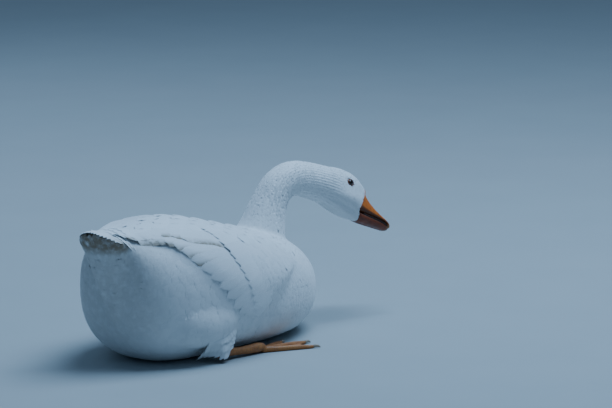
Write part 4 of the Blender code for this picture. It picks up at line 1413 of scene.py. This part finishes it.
def bill_material(name, orange, deep, nail_colour):
    g = Paint(name, orange, 0.5, Coat_Weight=0.05, Coat_Roughness=0.40)
    base = g.mix(g.ramp(g.noise(90, 4), 0.35, 0.7), orange, deep)
    base = g.mix(g.times(g.attribute("ridge"), 0.6), base, BILL_RIDGE)
    base = g.mix(g.attribute("nail"), base, nail_colour)
    # Darkening by the dark mask: painted shade in hollows and gaps, and a dark band along the
    # upper half's lower edge.
    g.colour(g.mix(g.attribute("dark"), base, BILL_DARK))
    g.join(g.ramp(g.noise(160, 3), -0.6, 1.6), g.shader.inputs["Roughness"])
    g.bump(g.add(g.noise(700, 4), g.times(g.noise(150, 2), 2.0)), 0.0002, 0.5)
    return g.mat


def mouth_lining():
    """Palate and tongue between the two halves of the bill, with the fine ribs of its edges,
    coloured near black as painted shade inside the mouth.
    """
    s = np.linspace(0.02, 0.93, 90)[:, None]
    top = profile(BILL_UPPER, s, 2) + MOUTH_OVERLAP
    low = profile(BILL_LOWER, s, 1) - MOUTH_OVERLAP
    half = profile(BILL_LOWER, s, 3) * MOUTH_SHARE
    half = half * (1 + 0.012 * np.cos(2 * pi * s * bill_length / TEETH_PITCH))
    y, z = oval(top, low, half, 0.5 * (top + low), around(48)[None, :], 3.0, 3.0)
    x = CULMEN_BASE.x + bill_length * s + 0 * y
    # Painted shade: the lining is coloured near black, for the dark inside of the mouth.
    mat = mottled("mouth_painted_shade", (0.045, 0.016, 0.012), 0.35,
                  ((0.060, 0.020, 0.014), (0.030, 0.011, 0.009)), (300, 3), (900, 3, 0.5))
    obj = smooth_object("mouth_lining", *loft(from_head(np.stack((x, y, z), -1))), mat)
    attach(obj, "root")


def build_bill():
    orange = bill_material("bill_orange_skin", *UPPER_TONES)
    # The lower half takes the darker copy of the orange, as painted shade.
    under = bill_material("bill_lower_painted_shade", *LOWER_TONES_SHADED)
    bill_half("upper", BILL_UPPER, 0.30, (2.2, 3.0), upper_detail, orange)
    bill_half("lower", BILL_LOWER, 0.62, (3.0, 2.2), lower_detail, under)
    mouth_lining()


# ------------------------------------------------------------------ eyes
IRIS_TONES = ((0.020, 0.007, 0.003), (0.075, 0.024, 0.006))
PUPIL_BLACK = (0.002, 0.002, 0.002)
EYE_RIM = (0.012, 0.006, 0.004)


def eye_material():
    """Wet eye: a black pupil, a streaked brown iris and a dark rim, by distance from its axis."""
    g = Paint("eye_wet", (0.02, 0.012, 0.008), 0.12, Coat_Weight=0.35, Coat_Roughness=0.04,
              Specular_IOR_Level=0.35)
    ring = g.attribute("ring")
    out_of_pupil = g.ramp(ring, PUPIL_RADIUS * 0.93, PUPIL_RADIUS * 1.06)
    out_of_iris = g.ramp(ring, IRIS_RADIUS * 0.93, IRIS_RADIUS * 1.04)
    base = g.mix(out_of_pupil, PUPIL_BLACK, g.mix(g.noise(1500, 3), *IRIS_TONES))
    g.colour(g.mix(out_of_iris, base, EYE_RIM))
    return g.mat


def eye_centre(side):
    return np.array((EYE_AT.x, side * EYE_AT.y, EYE_AT.z))


def eye_ball(side, mat):
    """Eyeball with a clear front that bulges over the iris."""
    theta = np.linspace(0, pi, 46)[1:-1][:, None]
    a = around(72)[None, :]
    radius = EYE_RADIUS * (1 + CORNEA_RISE * np.exp(-(theta / CORNEA_HALF) ** 4))
    across = radius * np.sin(theta)
    local = np.stack((across * np.cos(a), side * radius * np.cos(theta) + 0 * a,
                      across * np.sin(a)), -1)
    if side > 0:
        local = local[:, ::-1]
    obj = smooth_object("eyeball_" + end_name(side),
                        *loft(from_head(local + eye_centre(side))), mat)
    ring = (across * np.where(np.cos(theta) > 0, 1, 3) + 0 * a).ravel()
    set_values(obj.data, "ring", np.concatenate((ring, [0.0, 1.0])))
    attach(obj, "root")
    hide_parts("eye_" + end_name(side))


def lid_material():
    return mottled("eyelid_skin", (0.30, 0.075, 0.025), 0.5,
                   ((0.34, 0.085, 0.025), (0.13, 0.035, 0.014)), (900, 3), (2500, 2, 0.7),
                   Coat_Weight=0.2, Coat_Roughness=0.3)


# Section of the eyelid: radius, height above the eye's centre, share of the beads' height
LID = np.array((
    (0.0042, 0.0030, 0.0), (0.0043, 0.0038, 0.2), (0.0046, 0.0043, 1.0), (0.0050, 0.0046, 1.0),
    (0.0054, 0.0045, 0.8), (0.0058, 0.0040, 0.3), (0.0061, 0.0032, 0.0), (0.0060, 0.0020, 0.0),
    (0.0046, 0.0016, 0.0)))
LID_BEADS = 30
LID_BEAD_HEIGHT = 0.0003


def eyelid(side, mat):
    """Fleshy rim round the eye, beaded, with a corner fore and aft."""
    a = around(96)[:, None]
    corner = 1 + 0.07 * np.cos(2 * a) + 0.05 * np.abs(np.cos(a)) ** 12
    corner = corner - 0.05 * np.maximum(np.sin(a), 0)
    bead = 1 + 0.10 * np.cos(a * LID_BEADS)
    out = LID[None, :, 0] * corner
    high = LID[None, :, 1] + (LID[:, 2] * LID_BEAD_HEIGHT)[None] * (bead - 1) * 6
    local = np.stack((out * np.cos(a), side * high, out * np.sin(a)), -1)
    verts = from_head(local + eye_centre(side)).reshape(-1, 3)
    n, m = local.shape[:2]
    i, j = np.meshgrid(np.arange(n), np.arange(m), indexing="ij")
    corner_ids = [(i + di) % n * m + (j + dj) % m for di, dj in ((0, 0), (1, 0), (1, 1), (0, 1))]
    faces = np.stack(corner_ids, -1).reshape(-1, 4)
    obj = smooth_object("eyelid_" + end_name(side), verts,
                        faces[:, ::-1] if side < 0 else faces, mat)
    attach(obj, "root")


# ------------------------------------------------------------------ legs
def node_part(name):
    """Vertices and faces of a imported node."""
    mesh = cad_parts[name].data
    return mesh_points(mesh), [tuple(p.vertices) for p in mesh.polygons]


def toe_ways(side):
    for name, angle, length, radius in TOES:
        a = radians(angle) + FOOT_TURN
        yield name, np.array((np.cos(a), side * np.sin(a), 0)), length, radius


def leg_relief(verts, side):
    """Depth of the grooves between the plates of the toes and shank."""
    start = place(FOOT_AT * (1, side, 1))
    depth = np.zeros(len(verts))
    rear = -sum(way for _, way, _, _ in toe_ways(side)) / 3
    lines = [(way, radius) for _, way, _, radius in toe_ways(side)]
    for way, radius in lines + [(unit(rear), SHANK_RADIUS)]:
        ahead = (verts - start) @ way
        off = np.linalg.norm((verts - start)[:, :2] - ahead[:, None] * way[:2], axis=1)
        on = (smooth((radius * 1.25 - off) / 0.0015) * (ahead > 0)
              * smooth((verts[:, 2] - 0.0015) / 0.002))
        band = np.abs(np.sin(pi * ahead / SCUTE_PITCH))
        depth = np.maximum(depth, on * SCUTE_DEPTH * bump(band, 0, 0.30))
    return depth


LEG_TONES = ((0.66, 0.24, 0.05), (0.48, 0.15, 0.035))
LEG_SEAM = (0.30, 0.10, 0.03)
LEG_GROOVE_SHADE = (0.22, 0.08, 0.03)


def leg_material():
    """Orange skin of small scales, darker between them, with painted shade in the plates' grooves.
    """
    g = Paint("leg_scales", (0.62, 0.22, 0.045), 0.5, Coat_Weight=0.1)
    cells = g.node("ShaderNodeTexVoronoi", {"Scale": 620.0, "Vector": g.place()},
                   feature="DISTANCE_TO_EDGE").outputs["Distance"]
    edge = g.ramp(cells, 0.02, 0.16)
    base = g.mix(edge, LEG_SEAM, g.mix(g.ramp(g.noise(60, 4), 0.35, 0.7), *LEG_TONES))
    # Painted shade in the plates' grooves, by their depth.
    g.colour(g.mix(g.attribute("groove"), base, LEG_GROOVE_SHADE))
    g.bump(g.add(edge, g.times(g.noise(900, 3), 0.4)), 0.00025, 0.7)
    return g.mat


def leg(side, mat):
    """Shank, toes and web under one scaly skin."""
    end = end_name(side)
    shank, foot = node_part("shank_" + end), node_part("foot_" + end)
    way = unit(shank[0].mean(0) - foot[0].mean(0)) * 0.0012
    bridge = (foot[0] + way * (foot[0] @ way > np.median(foot[0] @ way))[:, None], foot[1])
    verts, quads = remeshed([shank, foot, bridge], LEG_VOXEL)
    verts = relax(verts, quads, np.full(len(verts), 3))
    depth = leg_relief(verts, side)
    verts = verts - vertex_normals(verts, quads) * depth[:, None]
    verts[:, 2] = np.maximum(verts[:, 2], 0.0)
    obj = smooth_object("leg_skin_" + end, verts, quads, mat)
    # Share of painted shade in each groove, by its depth.
    set_values(obj.data, "groove", depth / SCUTE_FULL_SHADE)
    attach(obj, "root")
    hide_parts("shank_" + end, "foot_" + end)


def claw_material():
    return mottled("claw_horn_grain", (0.45, 0.33, 0.24), 0.4,
                   ((0.52, 0.40, 0.30), (0.22, 0.15, 0.10)), (400, 4), (1500, 3, 0.6))


def claws(side, mat):
    """A tapering, slightly hooked claw in the tip of each toe."""
    end = end_name(side)
    for name, way, length, radius in toe_ways(side):
        t = np.linspace(0, 1, 16)
        thick = radius * 0.62
        start = length + 1.7 * thick
        ahead = start - CLAW_BACK + CLAW_HORN * t
        centre = place(FOOT_AT * (1, side, 1)) + way * ahead[:, None]
        centre[:, 2] = thick * (0.95 + 0.35 * np.sin(pi * t) - 0.55 * t * t)
        r = thick * 0.82 * np.sqrt(1 - 0.985 * t ** 2.2)
        across = np.array((-way[1], way[0], 0))
        a = around(18)
        rings = (centre[:, None] + across * (r[:, None] * np.cos(a))[..., None] * 0.85
                 + np.array((0, 0, 1.0)) * (r[:, None] * np.sin(a))[..., None])
        rings[..., 2] = np.maximum(rings[..., 2], 0.0)
        obj = smooth_object("claw_horn_%s_%s" % (end, name), *loft(rings), mat)
        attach(obj, "root")
        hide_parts("claw_%s_%s" % (end, name))


# ------------------------------------------------------------------ skin and coat
FLESH = ("trunk", "neck_lower", "neck_middle", "neck_upper", "head",
         "thigh_left", "thigh_right", "wing_left", "wing_right")


def build_skin():
    """One skin over all the flesh, as deep below the coat's tips as the coat is thick."""
    depth = skin_depth(surface_stage)[:, None]
    verts = surface.verts - surface.normals * depth
    verts = relax(verts, surface.quads, np.full(len(verts), 3))
    verts = carve_sockets(verts)
    verts[:, 2] = np.maximum(verts[:, 2], FLOOR_CLEAR)
    g = Paint("goose_skin_white", FEATHER_WHITE, 0.7)
    # Brown by the share of stain and of painted shade under the tail.
    g.colour(g.mix(g.attribute("stain_and_shade"), creamy(g), FEATHER_STAIN_AND_SHADE))
    g.bump(g.noise(500, 4), 0.0005, 0.8)
    obj = smooth_object("goose_skin", verts, surface.quads, g.mat)
    # Share of brown stain and painted shade under the tail, at each point.
    set_values(obj.data, "stain_and_shade", body_stain_and_shade(verts))
    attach(obj, "root")
    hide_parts(*FLESH)


def in_front_of_face(points):
    local = to_head(points)
    return ((local[..., 0] > mouth_line(local[..., 2]) - 0.0004) & (np.abs(local[..., 1]) < 0.03)
            & (np.abs(local[..., 2]) < 0.06) & (local[..., 0] < 0.06))


def under_long_feathers(points):
    """True where secondaries and tertials hide the small feathers of the wing."""
    p = unplace(points)
    t = (p[..., 0] - WING_REAR_X) / (WING_FRONT_X - WING_REAR_X)
    top, low, half = columns(GUIDE, p[..., 0])
    middle = low + WAIST * (top - low)
    sine = power((p[..., 2] - middle) / (top - middle + 0.006), ROUND_TOP / 2)
    cosine = power(np.abs(p[..., 1]) / (half + 0.006), ROUND_TOP / 2)
    upper, lower = wing_limits(np.clip(t, 0, 1))
    s = (upper - np.arctan2(sine, cosine)) / (upper - lower)
    edge = np.interp(t, (0.05, 0.14, 0.34), (0.45, 0.50, 0.88))
    return (t > 0.05) & (t < 0.50) & (s > 0.0) & (s < edge) | under_mantle(p)


def under_mantle(p):
    """True on the middle of the back, which the mantle's broad feathers hide."""
    x, y, z = p[..., 0], np.abs(p[..., 1]), p[..., 2]
    width = np.interp(x, (-0.25, -0.15, -0.05, 0.03, 0.05), (0.03, 0.03, 0.06, 0.05, 0.02))
    return (x < 0.045) & (y < width) & (z > 0.12) & (z > 0.178 - 0.1 * (x + 0.25))


def body_spacing(stage, points):
    p = unplace(points)
    size = np.interp(stage, (2.0, 2.15, 2.4, 3), (0.0046, 0.0062, 0.0082, 0.0080))
    stern = smooth((STERN_X - p[..., 0]) / 0.04)
    return size * (1 - 0.32 * stern)


def build_coat():
    """Small feathers from the face back to the stern, by zone."""
    tiny, narrow = (0, 0.44, 0.75, 1), (-1, 0, 1)
    zones = (
        ("face", 0.0, 0.55, lambda s, p: 0.00118 + 0.0002 * s, tiny, narrow, 3.6, 1.0, 0.05),
        ("crown", 0.55, 1.0, lambda s, p: 0.00125 + 0.0004 * (s - 0.5), tiny, narrow,
         3.6, 1.0, 0.05),
        ("neck", 1.0, 2.0, lambda s, p: np.interp(s, (1, 1.5, 2), (0.0016, 0.0026, 0.0046)),
         (0, 0.35, 0.60, 0.82, 1), narrow, 3.8, 1.12, 0.06),
        ("body", 2.0, 9.0, body_spacing, (0, 0.22, 0.45, 0.68, 0.86, 0.95, 1),
         (-1, -0.8, 0, 0.8, 1), 3.6, 1.32, 0.04),
    )
    for name, low, high, spacing, along, across, long, wide, rag in zones:
        def keep(stage, points):
            inside = (stage >= low) & (stage < high)
            hidden = in_front_of_face(points) | near_eye(points) | under_long_feathers(points)
            return inside & ~hidden & (points[..., 2] > 0.0004)
        roots, size = scatter(spacing, keep)
        share = 4 * (len(along) - 1) * (len(across) - 1)
        pieces = int(np.ceil(len(roots) * share / PIECE_TRIANGLES))
        order = np.argsort(roots[:, 0], kind="stable")
        for k, part in enumerate(np.array_split(order, pieces)):
            obj = small_feathers("coat_%s_%d" % (name, k + 1), roots[part], size[part],
                                 along, across, long, wide, rag,
                                 vane if name == "body" else down)


def build_long_feathers():
    for side, end in ((1, "left"), (-1, "right")):
        for name, spec in wing_rows().items():
            obj = blades("wing_%s_%s" % (end, name), wing_guide, spec, vane, side, tip=0.88,
                         ground=wing_height)
            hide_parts("wing_" + end)
        obj = blades("mantle_" + end, wing_guide, mantle_rows(side > 0), vane, side, tip=0.66,
                     rag=0.012, ground=back_height, soft=0.80)
        obj = blades("thigh_plumes_" + end, curtain_guide, curtain_rows(), vane, side, tip=0.60,
                     rag=0.020, soft=0.70)
    feathers, upper, under = tail_rows()
    for name, spec in (("tail_feathers", feathers), ("tail_coverts_upper", upper),
                       ("tail_coverts_under", under)):
        obj = blades(name, tail_guide, spec, vane)
        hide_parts("tail")


# ------------------------------------------------------------------ stage, light, camera
VIEW_AZIMUTH = radians(-52)
VIEW_ELEVATION = radians(10)
VIEW_DISTANCE = 6.0
VIEW_WIDTH = 0.851           # metres across the picture at the goose
VIEW_AIM = Vector((-0.1357, -0.2456, 0.2433))
SENSOR = 36.0
FLOOR_HALF = 90
FLOOR_TONES = ((0.40, 0.42, 0.42), (0.365, 0.385, 0.39))
ROOM_BLUE = (0.35, 0.61, 1.0)
ROOM_STRENGTH = 0.20
LAMP_BLUE = (0.44, 0.69, 1.0)
LAMP_AIM = Vector((0, 0, 0.15))
LAMP_SIZE = 2.0
LAMPS = (("key", (0.8, -0.5, 3.0), 135), ("fill", (0.9, 2.3, 1.6), 12))    # place, watts


def build_camera():
    back = Vector((np.sin(VIEW_AZIMUTH) * np.cos(VIEW_ELEVATION),
                   -np.cos(VIEW_AZIMUTH) * np.cos(VIEW_ELEVATION), np.sin(VIEW_ELEVATION)))
    data = bpy.data.cameras.new("camera")
    data.sensor_width = SENSOR
    data.lens = SENSOR * VIEW_DISTANCE / VIEW_WIDTH
    data.clip_end = 60
    camera = bpy.data.objects.new("camera", data)
    camera.location = VIEW_AIM + back * VIEW_DISTANCE
    camera.rotation_euler = back.to_track_quat("Z", "Y").to_euler()
    bpy.context.scene.collection.objects.link(camera)
    bpy.context.scene.camera = camera


def build_stage():
    mat = mottled("pale_floor", FLOOR_TONES[0], 0.85, FLOOR_TONES, (6, 4))
    corners = [(x, y, 0) for x, y in ((-FLOOR_HALF, -FLOOR_HALF), (FLOOR_HALF, -FLOOR_HALF),
                                      (FLOOR_HALF, FLOOR_HALF), (-FLOOR_HALF, FLOOR_HALF))]
    floor = new_object("floor", corners, [(0, 1, 2, 3)], [mat])


def add_light(name, at, energy):
    data = bpy.data.lights.new(name, "AREA")
    data.size, data.energy, data.color = LAMP_SIZE, energy, LAMP_BLUE
    light = bpy.data.objects.new(name, data)
    light.location = at
    light.rotation_euler = (Vector(at) - LAMP_AIM).to_track_quat("Z", "Y").to_euler()
    bpy.context.scene.collection.objects.link(light)


def build_light():
    world = bpy.data.worlds.new("soft_room")
    world.use_nodes = True
    background = world.node_tree.nodes["Background"]
    background.inputs["Color"].default_value = (*ROOM_BLUE, 1)
    background.inputs["Strength"].default_value = ROOM_STRENGTH
    bpy.context.scene.world = world
    for lamp in LAMPS:
        add_light(*lamp)


build_stage()
build_light()
build_camera()
build_skin()
build_long_feathers()
build_coat()
build_bill()
wet, rim = eye_material(), lid_material()
scales, horn = leg_material(), claw_material()
for side in (1, -1):
    eye_ball(side, wet)
    eyelid(side, rim)
    leg(side, scales)
    claws(side, horn)
